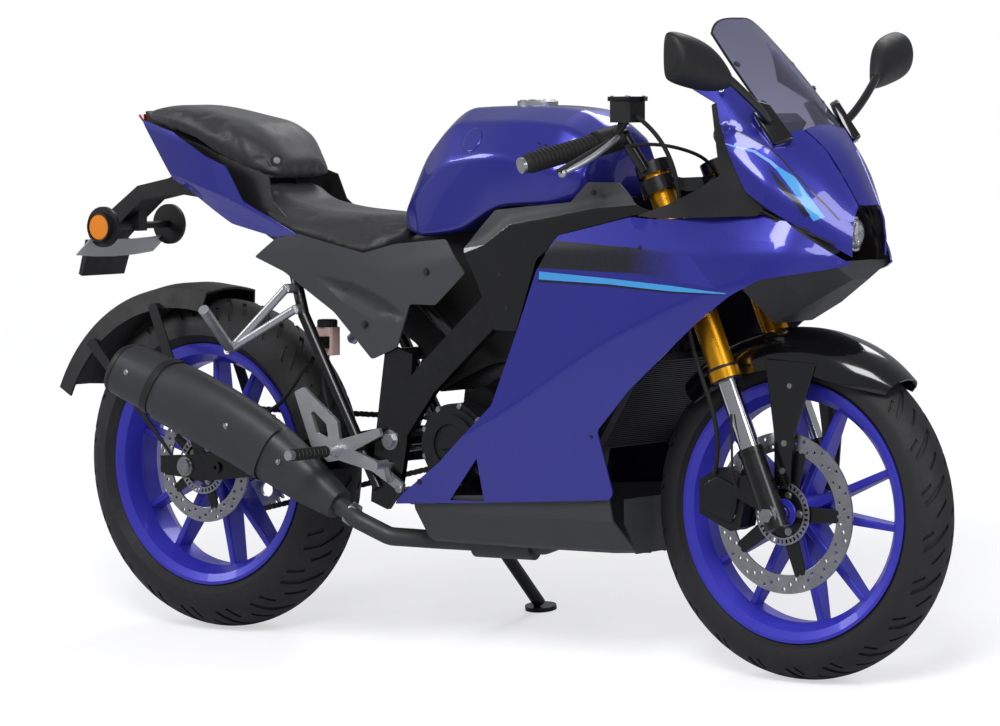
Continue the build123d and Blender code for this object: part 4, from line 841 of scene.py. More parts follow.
def screws(name, rows, slot, body="frame", sides=6):
    """Screw heads from rows of (x, y, z, facing, size).

    Facing is a direction of the bike, and size is the head's radius.
    """
    obj = new_mesh(name, [row[:3] for row in rows], [])
    mesh = obj.data
    facing = mesh.attributes.new("facing", "FLOAT_VECTOR", "POINT")
    for k, row in enumerate(rows):
        facing.data[k].vector = (BIKE.to_3x3() @ Vector(row[3])).normalized()
    size = mesh.attributes.new("size", "FLOAT", "POINT")
    for k, row in enumerate(rows):
        size.data[k].value = row[4] * MM
    dress(obj, slot, body)
    return smooth(use_group(obj, screw_group(), slot, Sides=sides), 30)


def both_sides(rows):
    """Rows of (x, y, z, facing, size) and their mirror images."""
    return [row for x, y, z, f, s in rows for row in ((x, y, z, f, s), (x, -y, z, (f[0], -f[1], f[2]), s))]


# ---- Shapes of the bodywork: (x, chain) rows, each chain of (y, z) runs down the right-hand side
NOSE = ((1180, ((-70, 1140), (-125, 1090), (-152, 1040), (-160, 960))),
        (1270, ((-78, 1045), (-140, 1000), (-176, 940), (-180, 830))),
        (1340, ((-70, 985), (-124, 940), (-168, 880), (-160, 780))),
        (1400, ((-45, 925), (-88, 890), (-120, 830), (-112, 750))),
        (1458, ((-30, 830), (-44, 815), (-58, 780), (-56, 716))))
FLANK = ((535, ((-150, 860), (-160, 750), (-168, 318), (-148, 250))),
         (800, ((-152, 860), (-184, 750), (-186, 455), (-152, 250))),
         (1050, ((-158, 860), (-193, 750), (-191, 600), (-134, 250))),
         (1250, ((-150, 860), (-190, 750), (-187, 685), (-120, 250))),
         (1367, ((-126, 860), (-164, 750), (-160, 712), (-100, 250))),
         (1470, ((-46, 860), (-60, 750), (-58, 735), (-40, 250))))
FLANK_OUTLINE = [(535, 276), (1010, 308), (1018, 321), (998, 431), (1070, 505), (1215, 626), (1288, 678),
                 (1340, 706), (1430, 723), (1464, 732), (1360, 818), (1125, 806), (1075, 809), (925, 774),
                 (880, 710), (826, 578), (778, 468), (650, 358), (556, 296)]
TANK = ((503, ((-40, 835), (-70, 822), (-85, 800), (-80, 772))),
        (560, ((-45, 940), (-82, 912), (-106, 850), (-108, 762))),
        (640, ((-45, 996), (-95, 968), (-130, 900), (-122, 770))),
        (770, ((-45, 1000), (-110, 973), (-152, 912), (-138, 820))),
        (870, ((-40, 994), (-105, 965), (-150, 890), (-136, 824))),
        (935, ((-35, 960), (-85, 935), (-115, 880), (-108, 836))))
RIDER_SEAT = ((150, ((-60, 862), (-96, 850), (-102, 838), (-90, 822))),
              (230, ((-70, 815), (-124, 800), (-134, 782), (-118, 762))),
              (330, ((-70, 800), (-125, 785), (-142, 757), (-120, 738))),
              (450, ((-60, 795), (-105, 775), (-138, 737), (-110, 722))),
              (503, ((-30, 800), (-60, 792), (-72, 766), (-66, 748))))
PILLION_SEAT = ((-150, ((-30, 985), (-50, 982), (-56, 974), (-50, 966))),
                (-70, ((-50, 992), (-82, 983), (-90, 970), (-80, 955))),
                (70, ((-60, 972), (-102, 958), (-116, 936), (-100, 905))),
                (130, ((-60, 958), (-108, 940), (-120, 908), (-104, 878))),
                (200, ((-40, 890), (-68, 880), (-84, 868), (-72, 858))))
TAIL = ((-150, ((-58, 990), (-66, 960), (-60, 900), (-52, 840))),
        (-40, ((-92, 980), (-104, 940), (-96, 860), (-80, 800))),
        (110, ((-122, 960), (-136, 900), (-130, 800), (-112, 740))),
        (305, ((-148, 820), (-150, 790), (-146, 740), (-140, 700))))
SIDE_COVER = ((170, ((-118, 790), (-126, 740), (-118, 640))),
              (330, ((-148, 800), (-146, 740), (-130, 560))),
              (500, ((-130, 800), (-141, 700), (-141, 500))),
              (700, ((-130, 800), (-147, 740), (-146, 600))))
INTAKE = ((700, ((-150, 830), (-156, 780), (-150, 600))),
          (900, ((-156, 870), (-162, 800), (-156, 600))),
          (1060, ((-150, 900), (-158, 830), (-150, 600))),
          (1300, ((-150, 900), (-160, 850), (-150, 700))))
COWL_TRIM = ((1080, ((-150, 1010), (-154, 940), (-160, 860), (-166, 805))),
             (1240, ((-143, 1010), (-169, 945), (-176, 860), (-178, 805))),
             (1345, ((-116, 1010), (-138, 945), (-154, 860), (-148, 805))))
FRONT_AXLE = (WHEELBASE, 0, FRONT_R)
REAR_AXLE = (0, 0, REAR_R)
RAKE = radians(23)
LEG_Y = 100              # fork leg from the middle


def up_leg(height, ahead=0.0, y=-LEG_Y):
    """A point by a fork leg, so high above the front axle along the leg."""
    return (WHEELBASE - sin(RAKE) * height + cos(RAKE) * ahead, y,
            FRONT_R + cos(RAKE) * height + sin(RAKE) * ahead)


def ribbon(points, start, end, middle=None):
    """A closed outline of a painted line along the points, tapering from its start to its end width."""
    left, right = [], []
    count = len(points) - 1
    for k, p in enumerate(points):
        a, b = Vector(points[max(k - 1, 0)]), Vector(points[min(k + 1, count)])
        side = (b - a).normalized().orthogonal()
        wide = start + (end - start) * k / count
        if middle is not None and 0 < k < count:
            wide = middle
        left.append(tuple(Vector(p) + side * wide / 2))
        right.append(tuple(Vector(p) - side * wide / 2))
    return left + right[::-1]


def shell(name, rows, slot, body="frame", replaces=(), wall=3, flip=False, ring=False):
    """A sheet through rows of points, given a wall thickness on its inner side."""
    n = len(rows[0])
    faces = []
    for i in range(len(rows) - (0 if ring else 1)):
        j = (i + 1) % len(rows)
        for k in range(n - 1):
            face = (i * n + k, i * n + k + 1, j * n + k + 1, j * n + k)
            faces.append(tuple(reversed(face)) if flip else face)
    obj = new_mesh(name, [p for row in rows for p in row], faces)
    dress(obj, slot, body, replaces)
    if wall:
        thick = obj.modifiers.new("wall", "SOLIDIFY")
        thick.thickness = wall * MM
        thick.offset = -1
    return smooth(finish_mesh(obj, outward=False), 40)


class BIKE_OT_fairings(bpy.types.Operator):
    """Mould the two side fairings with their graphics, and the belly pan's screws"""
    bl_idname = "bike.fairings"
    bl_label = "Side fairings"

    def execute(self, context):
        panel = [(883, 716), (1107, 712), (1262, 690), (1213, 745), (1107, 756), (921, 765)]
        film = ribbon([(887, 703), (1040, 697), (1170, 688), (1281, 682)], 14, 1.5, 10)
        under = ribbon([(884, 693), (1040, 689.5), (1170, 681.5), (1278, 679.5)], 4, 1, 3.5)
        ridge = [(1126, 809), (1250, 790), (1379, 769), (1460, 736)]
        facet = (ridge, [(1110, 830), (1250, 850), (1400, 850), (1500, 780)], 0.2, 10)
        for name, hand in (("right", 1), ("left", -1)):
            skin(f"fairing_{name}", FLANK, rounded(FLANK_OUTLINE, 5, 3), "violet_paint",
                 (f"side_fairing_{name}",), (panel, film, under), ("graphic_film", "blue_film", "dark_line"),
                 [[(664, 290), (742, 292), (736, 370)]], soft=4, hands=(hand,), folds=(facet,), step=8)
        rows = [(1107, -190, 756, (0, -1, 0), 4), (905, -187, 742, (0, -1, 0), 4),
                (700, -174, 395, (0, -1, 0), 4), (985, -166, 420, (0, -1, -0.3), 4),
                (600, -166, 320, (0, -1, -0.2), 4)]
        screws("fairing_screws", both_sides(rows), "black_plastic")
        return {"FINISHED"}


class BIKE_OT_nose(bpy.types.Operator):
    """Mould the nose cowl, its inner trim, slats and mouth"""
    bl_idname = "bike.nose"
    bl_label = "Nose"

    def execute(self, context):
        top = [(1178, 1112), (1225, 1067), (1270, 1026), (1300, 997), (1340, 957), (1352, 959), (1363.6, 962),
               (1380, 947), (1400, 925), (1425, 886), (1446, 850), (1456, 831)]
        low = [(1457, 803), (1457, 744), (1338, 838), (1312, 858), (1268, 948), (1240, 1008), (1168, 1044)]
        groove = ribbon([(1283, 962), (1336, 933), (1360, 911), (1425, 831), (1440, 808)], 2.5, 2.5, 2.5)
        film = ribbon([(1355, 899), (1375, 879), (1400, 842), (1417, 810)], 4, 15, 12)
        pale = ribbon([(1262, 942), (1318, 926), (1345, 908), (1361, 893)], 1.5, 5, 4)
        under = ribbon([(1350, 893), (1368, 868), (1390, 838), (1403, 815)], 2, 8, 6)
        lower = ([(1283, 962), (1336, 933), (1360, 911), (1425, 831), (1475, 790)],
                 [(1225, 975), (1225, 800), (1330, 720), (1475, 700)], 0.35, 4)
        skin("nose_sides", NOSE, top + low, "violet_paint", ("nose_cowl",), (groove, pale, film, under),
             ("dark_line", "pale_film", "blue_film", "dark_line"), soft=9, folds=(lower,), step=6)
        # middle of the nose, crowned, between the two side panels
        rows = []
        for i in range(25):
            x = 1364 + (1456 - 1364) * i / 24
            y, z = section_at(NOSE, x)[0]
            dip = 8 * (i / 24) ** 3
            rows.append([(x + 5 * (i / 24) * cos(pi * k / 12 - pi / 2), y + (-2 * y) * k / 12,
                          z + 7 * sin(pi * k / 12) - dip * sin(pi * k / 12)) for k in range(13)])
        shell("nose_middle", rows, "violet_paint", replaces=("nose_cowl",), flip=True)
        trim = [(1082, 811), (1128, 808), (1240, 812), (1330, 816), (1343, 836), (1314, 860), (1272, 948),
                (1243, 1010), (1226, 1006), (1250, 946), (1262, 884), (1215, 858), (1150, 832)]
        skin("cowl_trim", COWL_TRIM, rounded(trim, 5, 3), "black_plastic", (), soft=9, step=8)
        slats = []
        for hand in (1, -1):
            for a, b in (((1332, -155, 826), (1404, -110, 789)), ((1342, -150, 821), (1412, -104, 780)),
                         ((1382, -124, 797), (1438, -80, 766))):
                slats.append(pipe("slat", [(p[0], p[1] * hand, p[2]) for p in (a, b)], 2.4, "black_plastic",
                                  soft=False))
        merged("cowl_slats", slats)
        rows = [(1247, -146, 1032, (0.5, -1, 0.6), 3.5)]
        screws("nose_screws", both_sides(rows), "steel", sides=12)
        # lamp: reflector bowl, projector lens and ring
        lamp = (1425, 0, 782)
        bowl = [(0, 30), (4, 30), (4, 26), (-4, 20), (-20, 8), (-24, 0.5), (-28, 0.5), (-28, 30)]
        self.across("lamp_bowl", lamp, bowl, "chrome_tube")
        self.across("lamp_lens", lamp, [(2, 25), (8, 21), (12, 14), (14, 6), (14.5, 0.5), (0, 0.5), (0, 25)],
                    "clear_lens", ("headlamp",))
        return {"FINISHED"}

    def across(self, name, centre, profile, slot, replaces=()):
        """A form turned about the bike's long axis: the profile is (x, radius) points."""
        points, faces, n, steps = [], [], len(profile), 48
        for i in range(steps):
            a = 2 * pi * i / steps
            points += [(centre[0] + x, centre[1] + r * cos(a), centre[2] + r * sin(a)) for x, r in profile]
            j = (i + 1) % steps
            faces += [(i * n + k, i * n + (k + 1) % n, j * n + (k + 1) % n, j * n + k) for k in range(n)]
        obj = new_mesh(name, points, faces)
        dress(obj, slot, "frame", replaces)
        return smooth(finish_mesh(obj), 40)


class BIKE_OT_screen(bpy.types.Operator):
    """Bend the windscreen, with its dark border and screws"""
    bl_idname = "bike.screen"
    bl_label = "Windscreen"

    def execute(self, context):
        heights, edge = (953, 1060, 1154), (1341, 1246, 1158)
        middle, half = (1363, 1270, 1180), (103.7, 96, 76)
        rows, columns, steps = [], 24, 30
        for i in range(steps + 1):
            row = []
            for k in range(columns + 1):
                u = k / columns * 2 - 1
                z = 953 + (201 - 26 * abs(u) ** 4) * i / steps
                w = eased(heights, half, z)
                x = eased(heights, middle, z) + (eased(heights, edge, z) - eased(heights, middle, z)) * u * u
                row.append((x, w * u, z + 3 * sin(pi * i / steps) * (1 - u * u)))
            rows.append(row)
        shell("windscreen_sheet", rows, "smoke_screen", replaces=("windscreen",), wall=3, flip=True)
        edge_line = rows[0] + [row[-1]
                               for row in rows[1:]] + rows[-1][-2::-1] + [row[0] for row in rows[-2:0:-1]]
        pipe("windscreen_border", [(x + 0.5, y, z) for x, y, z in edge_line + edge_line[:1]], 2.2,
             "gloss_black", soft=False, steps=6)
        tabs = [(rows[i][k][0] + 3, rows[i][k][1], rows[i][k][2], (0.7, 0.2 * (k - 12) / 12, 0.7), 4.5)
                for i, k in ((9, 1), (9, 23), (20, 1), (20, 23), (1, 12))]
        screws("windscreen_screws", tabs, "black_plastic", sides=12)
        return {"FINISHED"}


class BIKE_OT_tank(bpy.types.Operator):
    """Press the fuel tank, with its vents, cap and bare badge place"""
    bl_idname = "bike.tank"
    bl_label = "Fuel tank"

    def execute(self, context):
        tank = moulded("tank_shell", TANK, "violet_paint", ("fuel_tank",), radius=10, end=10, count=56)
        vents = []
        for i in range(5):
            x, z = 838 + i * 15, 936 - i * 3
            vent = skin(f"tank_vent_{i}", TANK, rounded([(x, z), (x + 5, z), (x + 26, z - 30),
                                                         (x + 21, z - 30)], 2, 2), "black_plastic", wall=0,
                        step=5)
            vents.append(laid(vent, tank, 0.8))
        merged("tank_vents", vents)
        badge = skin("badge", TANK, circle(690, 938, 22, 40), "violet_paint", wall=0, step=4)
        badge = laid(badge, tank, 1.2)
        badge.name = "badge_place"
        x, z = 745, 998
        ring = [(0, 37), (9, 37), (10.5, 35), (10.5, 24), (8.5, 22), (8.5, 0.4), (0, 0.4)]
        self.upright("fuel_cap_lid", (x, 0, z), ring, "alloy", ("fuel_cap",))
        self.upright("fuel_cap_lock", (x - 6, 0, z + 8), [(0, 12), (3.5, 12), (4.2, 11), (4.2, 0.4),
                                                          (0, 0.4)], "steel")
        screws("fuel_cap_screws", [(x + 30 * cos(a), 30 * sin(a), z + 11, (0, 0, 1), 2.6)
                                   for a in (2 * pi * k / 7 for k in range(7))], "steel", sides=16)
        return {"FINISHED"}

    def upright(self, name, centre, profile, slot, replaces=()):
        """A form turned about an upright axis: the profile is (z, radius) points."""
        points, faces, n, steps = [], [], len(profile), 48
        for i in range(steps):
            a = 2 * pi * i / steps
            points += [(centre[0] + r * cos(a), centre[1] + r * sin(a), centre[2] + z) for z, r in profile]
            j = (i + 1) % steps
            faces += [(i * n + k, i * n + (k + 1) % n, j * n + (k + 1) % n, j * n + k) for k in range(n)]
        obj = new_mesh(name, points, faces)
        dress(obj, slot, "frame", replaces)
        return smooth(finish_mesh(obj), 40)


class BIKE_OT_seats(bpy.types.Operator):
    """Upholster the rider's and the pillion's seats"""
    bl_idname = "bike.seats"
    bl_label = "Seats"

    def execute(self, context):
        self.pad("rider_cushion", RIDER_SEAT, ("rider_seat",), 0.8)
        self.pad("pillion_cushion", PILLION_SEAT, ("pillion_seat",), 0.85)
        # lock in the front of the pillion seat
        centre, facing = Vector((187, -70, 893)), Vector((0.8, -0.5, 0.35)).normalized()
        screws("seat_lock_ring", [(*centre, tuple(facing), 11)], "black_plastic", sides=32)
        screws("seat_lock", [(*(centre + facing * 3), tuple(facing), 6.5)], "steel", sides=32)
        return {"FINISHED"}

    def pad(self, name, stations, replaces, fill):
        """A cushion swelled by air pressure from a slightly smaller form, its top kept below a cap."""
        puff = bpy.context.scene.bike_sizes.seat_puff
        smaller = [(x, [(y + puff * 0.4, z - puff * 0.4) for y, z in chain]) for x, chain in stations]
        obj = moulded(name, smaller, "seat_cover", replaces, radius=13, end=11, count=40)
        cubes = obj.modifiers.new("cubes", "REMESH")
        cubes.mode = "VOXEL"
        cubes.voxel_size = 6 * MM
        obj = finish_mesh(obj)
        scene = bpy.context.scene
        cloth = obj.modifiers.new("air", "CLOTH")
        cloth.settings.use_pressure = True
        cloth.settings.uniform_pressure_force = 4
        cloth.settings.effector_weights.gravity = 0
        start = [v.co.copy() for v in obj.data.vertices]
        for step in range(1, 21):
            scene.frame_set(step)
        blown = obj.evaluated_get(bpy.context.evaluated_depsgraph_get()).data
        moved = [v.co.copy() for v in blown.vertices]
        obj.modifiers.clear()
        for v, a, b in zip(obj.data.vertices, start, moved):
            v.co = a + (b - a) * min(1, puff * MM / max((b - a).length, 1e-9))
        scene.frame_set(1)
        fine = obj.modifiers.new("fine", "SUBSURF")
        fine.levels = fine.render_levels = 1
        obj = finish_mesh(obj)
        obj.data.shade_smooth()
        return obj


class BIKE_OT_tail(bpy.types.Operator):
    """Mould the tail panels and core, and hang the plate and its sheet"""
    bl_idname = "bike.tail"
    bl_label = "Tail"

    def execute(self, context):
        outline = [(-150, 968), (-40, 946), (60, 902), (118, 884), (160, 820), (300, 760), (258, 750),
                   (119, 776), (-52, 860)]
        lip = ([(-20, 858), (116, 826), (310, 757)], [(-40, 836), (60, 780), (150, 740), (310, 730)],
               0.3, 7)
        skin("tail_sides", TAIL, rounded(outline, 6, 3), "violet_paint", ("tail_panels",), soft=5,
             folds=(lip,), step=6)
        core = ((-182, ((-12, 984), (-18, 983), (-18, 980), (-12, 978))),
                (-152, ((-30, 968), (-40, 960), (-42, 953), (-36, 947))),
                (-82, ((-50, 950), (-62, 938), (-62, 900), (-50, 873))),
                (6, ((-50, 928), (-72, 922), (-78, 884), (-60, 868))),
                (110, ((-50, 887), (-80, 878), (-84, 842), (-60, 836))))
        moulded("tail_box", core, "black_plastic", ("tail_core",), radius=5, end=1.5, count=30)
        plate = [[(-240 - 40 * t, y, 742 - 34 * t - 6 * (1 - (y / 112) ** 2))
                  for y in (-112, -60, 0, 60, 112)] for t in (0, 0.25, 0.5, 0.75, 1)]
        shell("plate_backing_sheet", plate, "pale_sheet", wall=1.5)
        x, z, r = -222, 762, 25
        for hand, side in ((-1, "right"), (1, "left")):
            profile = [(0, r), (9, r), (10.5, r - 2), (11, r * 0.5), (11.2, 0.4), (0, 0.4)]
            turned(f"reflector_{side}", (x, hand * 100.3, z), [(hand * y, q) for y, q in profile],
                   "amber_lens", ("rear_reflectors",))
            rim = [(-4, r), (-4, r + 3), (12.5, r + 3), (12.5, r + 0.6), (11, r + 0.4), (0, r + 0.4)]
            turned(f"reflector_rim_{side}", (x, hand * 100.3, z), [(hand * y, q) for y, q in rim],
                   "black_plastic")
        rows = [(-306, y, 700 + dz, (1, 0, 0.3), 3.5) for y in (-26, 26) for dz in (-18, 14)]
        screws("plate_screws", rows, "black_plastic")
        return {"FINISHED"}


class BIKE_OT_covers(bpy.types.Operator):
    """Mould the side covers and the frame's intake covers"""
    bl_idname = "bike.covers"
    bl_label = "Side and intake covers"

    def execute(self, context):
        outline = [(180, 716), (240, 752), (297, 762), (450, 730), (520, 748), (640, 760), (690, 700),
                   (620, 640), (560, 640), (530, 560), (470, 536), (380, 620), (260, 690)]
        # liner under the tail panel, and the airbox seen through the gaps of the frame
        inner = ((60, ((-96, 925), (-104, 780))), (150, ((-98, 900), (-112, 780))),
                 (260, ((-104, 880), (-122, 740))))
        skin("tail_liner", inner, [(70, 905), (112, 892), (196, 866), (212, 820), (262, 780), (300, 757),
                                   (175, 795), (120, 822), (70, 850)], "black_plastic", (), soft=3)
        slab("airbox", [(300, 740), (430, 745), (560, 775), (680, 780), (790, 790), (800, 700), (760, 540),
                        (690, 530), (620, 500), (560, 470), (520, 556), (440, 600), (380, 660)], 66, -66,
             "black_plastic", bevel=10, radius=20)
        scoop = ([(330, 690), (430, 676), (500, 650), (560, 612)], [(330, 690), (400, 640), (480, 604),
                                                                    (560, 612)], 0.55, 12)
        skin("side_cover_panels", SIDE_COVER, rounded(outline, 6, 3), "grey_plastic", ("side_covers",),
             soft=10, folds=(scoop,), step=6)
        outline = [(690, 745), (760, 815), (930, 832), (965, 868), (1030, 868), (1075, 830), (1120, 816),
                   (1070, 812), (925, 778), (860, 730), (810, 600), (760, 600), (720, 690)]
        face = [(690, 745), (760, 815), (930, 832), (965, 868), (1030, 868), (1075, 830), (985, 822),
                (900, 806), (800, 790), (740, 752)]
        step = ([(690, 735), (740, 752), (800, 790), (900, 806), (985, 822), (1085, 831)],
                [(690, 800), (760, 860), (960, 900), (1085, 890)], 0.5, 7)
        skin("intake_panels", INTAKE, rounded(outline, 5, 3), "gloss_black", ("intake_covers",), (face,),
             ("grey_plastic",), soft=8, folds=(step,), step=7)
        rows = [(455, -143, 600, (0, -1, 0.1), 5), (600, -145, 700, (0, -1, 0.1), 5),
                (235, -130, 716, (0, -1, 0), 4), (985, -160, 850, (0, -1, 0), 4),
                (775, -155, 700, (0, -1, 0), 4), (790, -154, 640, (0, -1, 0), 4)]
        screws("cover_screws", both_sides(rows), "black_plastic")
        return {"FINISHED"}


class BIKE_OT_tyres(bpy.types.Operator):
    """Mould the two tyres with their grooves"""
    bl_idname = "bike.tyres"
    bl_label = "Tyres"

    def execute(self, context):
        front = [[(0.06, 0.10), (0.16, 0.07), (0.52, 0.52), (0.70, 0.84), (0.60, 0.86), (0.38, 0.56)],
                 [(0.56, 0.16), (0.64, 0.14), (0.94, 0.50), (0.90, 0.56)],
                 [(0.20, 0.62), (0.27, 0.60), (0.46, 0.92), (0.38, 0.93)]]
        rear = [[(0.08, 0.08), (0.18, 0.05), (0.56, 0.50), (0.78, 0.86), (0.68, 0.88), (0.42, 0.54)],
                [(0.60, 0.20), (0.68, 0.17), (0.95, 0.56), (0.90, 0.62)],
                [(0.16, 0.60), (0.24, 0.58), (0.46, 0.92), (0.37, 0.93)]]
        self.tyre("tyre_front", FRONT_AXLE, FRONT_R, 100, 84, 22, front, "front_wheel", "front_tyre")
        self.tyre("tyre_rear", REAR_AXLE, REAR_R, 140, 116, 20, rear, "rear_wheel", "rear_tyre")
        return {"FINISHED"}

    def tyre(self, name, axle, radius, width, rim_width, pitches, grooves, body, node):
        """One pitch of grooved tread, repeated round the axle and welded to the sidewalls."""
        half, depth = width / 2, bpy.context.scene.bike_sizes.tread_depth
        crown, top = radius - half, radians(66)
        pitch, reach = 2 * pi * radius / pitches, half * top

        def place(s, t, sunk=0.0):
            a, b = s / radius, t / half
            r = crown + (half - sunk) * cos(b)
            return (axle[0] + r * cos(a), (half - sunk) * sin(b), axle[2] + r * sin(a))

        outline = [(0, -reach), (pitch, -reach), (pitch, reach), (0, reach)]
        holes = []
        for groove in grooves:
            for hand in (1, -1):
                loop = [((u if hand > 0 else 1 - u) * pitch, t * reach * hand) for u, t in groove]
                holes.append(loop if hand > 0 else loop[::-1])
        step = 9
        flat, faces = cut_sheet(outline, (), holes, step)
        points = [place(s, t) for s, t in flat]
        polygons = [face for face, _ in faces]
        for loop in holes:
            fine = divided_loop(loop, step)
            first, n = len(points), len(fine)
            points += [place(*p) for p in fine] + [place(*p, sunk=depth) for p in fine]
            polygons += [(first + k, first + (k + 1) % n, first + n + (k + 1) % n, first + n + k)
                         for k in range(n)]
            done = geometry.delaunay_2d_cdt([Vector(p) for p in fine], [(k, (k + 1) % n) for k in range(n)],
                                            [], 1, 0.01)
            floor = len(points)
            points += [place(*p, sunk=depth) for p in done[0]]
            polygons += [tuple(floor + k for k in face) for face in done[2]]
        tread = new_mesh(f"{name}_tread", points, polygons)
        dress(tread, "tyre", body)
        tread = around(tread, pitches, axle, "tyre", weld=0.02)
        count = max(1, round(pitch / step)) * pitches
        edge = [(half * sin(b), crown + half * cos(b)) for b in (top, radians(76), radians(88))]
        bead = rim_width / 2 - 5.3
        side = edge + [(half - 1, crown - 8), (half - 3, crown - 10), (half - 3.5, crown - 14),
                       (half - 2.5, crown - 16)]
        low = 231
        wall = [(y, r) for y, r in side if r > low + 6] + [(bead + 5, low + 4), (bead + 1, low),
                                                           (bead, 216.5)]
        ring = wall + [(-y, r) for y, r in reversed(wall)]
        obj = self.wall(name, axle, ring, count)
        dress(obj, "tyre", body, (node,))
        obj = merged(name, [obj, tread], weld=0.03)
        return smooth(finish_mesh(obj), 28)

    def wall(self, name, axle, ring, steps):
        """Sidewalls and beads: an open ring of (y, radius) points turned about the axle."""
        points, faces, n = [], [], len(ring)
        for i in range(steps):
            a = 2 * pi * i / steps
            points += [(axle[0] + r * cos(a), y, axle[2] + r * sin(a)) for y, r in ring]
            j = (i + 1) % steps
            faces += [(i * n + k, i * n + k + 1, j * n + k + 1, j * n + k) for k in range(n - 1)]
        return new_mesh(name, points, faces)


class BIKE_OT_brakes(bpy.types.Operator):
    """Cut the drilled discs, and fit carriers, rivets, calipers and hoses"""
    bl_idname = "bike.brakes"
    bl_label = "Brakes"

    def execute(self, context):
        self.disc("front", FRONT_AXLE, 141, 33, -64, 60, "front_wheel", "front_disc", -56.3)
        self.disc("rear", REAR_AXLE, 110, 28, -62, 45, "rear_wheel", "rear_disc", -56.3)
        screws("front_caliper_bolts", [(1182, -94.5, 312, (0, -1, 0), 6), (1238, -94.5, 290, (0, -1, 0), 6),
                                       (1190, -94.5, 345, (0, -1, 0), 5), (1252, -94.5, 335, (0, -1, 0), 5)],
               "steel", "steering")
        slab("front_caliper_bridge", [(1176, 300), (1236, 276), (1246, 300), (1252, 338), (1206, 358),
                                      (1176, 340)], -94.2, -99, "engine_black", "steering", bevel=2,
             radius=8)
        screws("rear_caliper_bolts", [(92, -88, 392, (0, -1, 0), 5), (122, -88, 368, (0, -1, 0), 5)], "steel")
        hose = [(1096, -186, 985), (1120, -160, 960), (1150, -140, 900), (1158, -136, 800), (1150, -134, 700),
                (1178, -128, 560), (1214, -112, 470), (1216, -104, 400), (1200, -98, 360)]
        pipe("front_brake_hose", hose, 4, "rubber", "steering")
        wire = [(1255, -126, 470), (1258, -126, 400), (1246, -118, 350), (1262, -92, 320), (1290, -74, 306)]
        pipe("front_sensor_wire", wire, 2.2, "rubber", "steering")
        pipe("rear_brake_hose", [(300, -120, 520), (262, -118, 470), (220, -112, 430), (160, -104, 416),
                                 (118, -96, 404), (104, -88, 384)], 4, "rubber")
        return {"FINISHED"}

    def disc(self, end, axle, outer, wide, y, holes, body, node, hub):
        """A brake disc: drilled ring, dark carrier with arms, rivets and the slotted sensor ring."""
        x, _, z = axle
        drilled = []
        for k in range(holes):
            a = 2 * pi * k / holes
            r = outer - wide * (0.26, 0.5, 0.74)[k % 3]
            drilled.append(circle(x + r * cos(a), z + r * sin(a), 3.1, 10))
        slab(f"{end}_disc_ring", circle(x, z, outer, 120), y + 2.2, y - 2.2, "steel", body, (node,),
             [circle(x, z, outer - wide, 96)] + drilled, bevel=0.4)
        arms, rivets = [], []
        for k in range(10):
            a = 2 * pi * k / 5 / 2
            r = outer - wide + 6 if k % 2 == 0 else outer * 0.33
            for turn in (-0.1, 0.1) if k % 2 == 0 else (-0.3, 0.3):
                arms.append((x + r * cos(a + turn), z + r * sin(a + turn)))
            if k % 2 == 0:
                rivets.append((x + r * cos(a), y - 2.4, z + r * sin(a), (0, -1, 0), 3.2))
        slab(f"{end}_disc_carrier", arms, y + 1.4, y - 2.8, "black_frame", body, (node,),
             [circle(x, z, 24, 40)], bevel=1, radius=6)
        screws(f"{end}_disc_rivets", rivets, "steel", body, sides=20)
        screws(f"{end}_disc_bolts", [(x + 33 * cos(a), y - 4.4, z + 33 * sin(a), (0, -1, 0), 5)
                                     for a in (2 * pi * k / 5 for k in range(5))], "steel", body)
        slots = []
        for k in range(36):
            a = 2 * pi * k / 36
            slots.append([(x + r * cos(a + t), z + r * sin(a + t)) for r,
                          t in ((46, -0.04), (46, 0.04), (53, 0.04), (53, -0.04))])
        slab(f"{end}_sensor_ring", circle(x, z, 56, 72), y - 5.4, y - 7, "steel", body, (),
             [circle(x, z, 43, 48)] + slots, bevel=0.2)
        turned(f"{end}_disc_hub", (x, 0, z), [(hub, 30), (y - 2, 26), (y - 5, 24), (y - 5, 14), (hub, 14)],
               "wheel_paint", (node,), body)


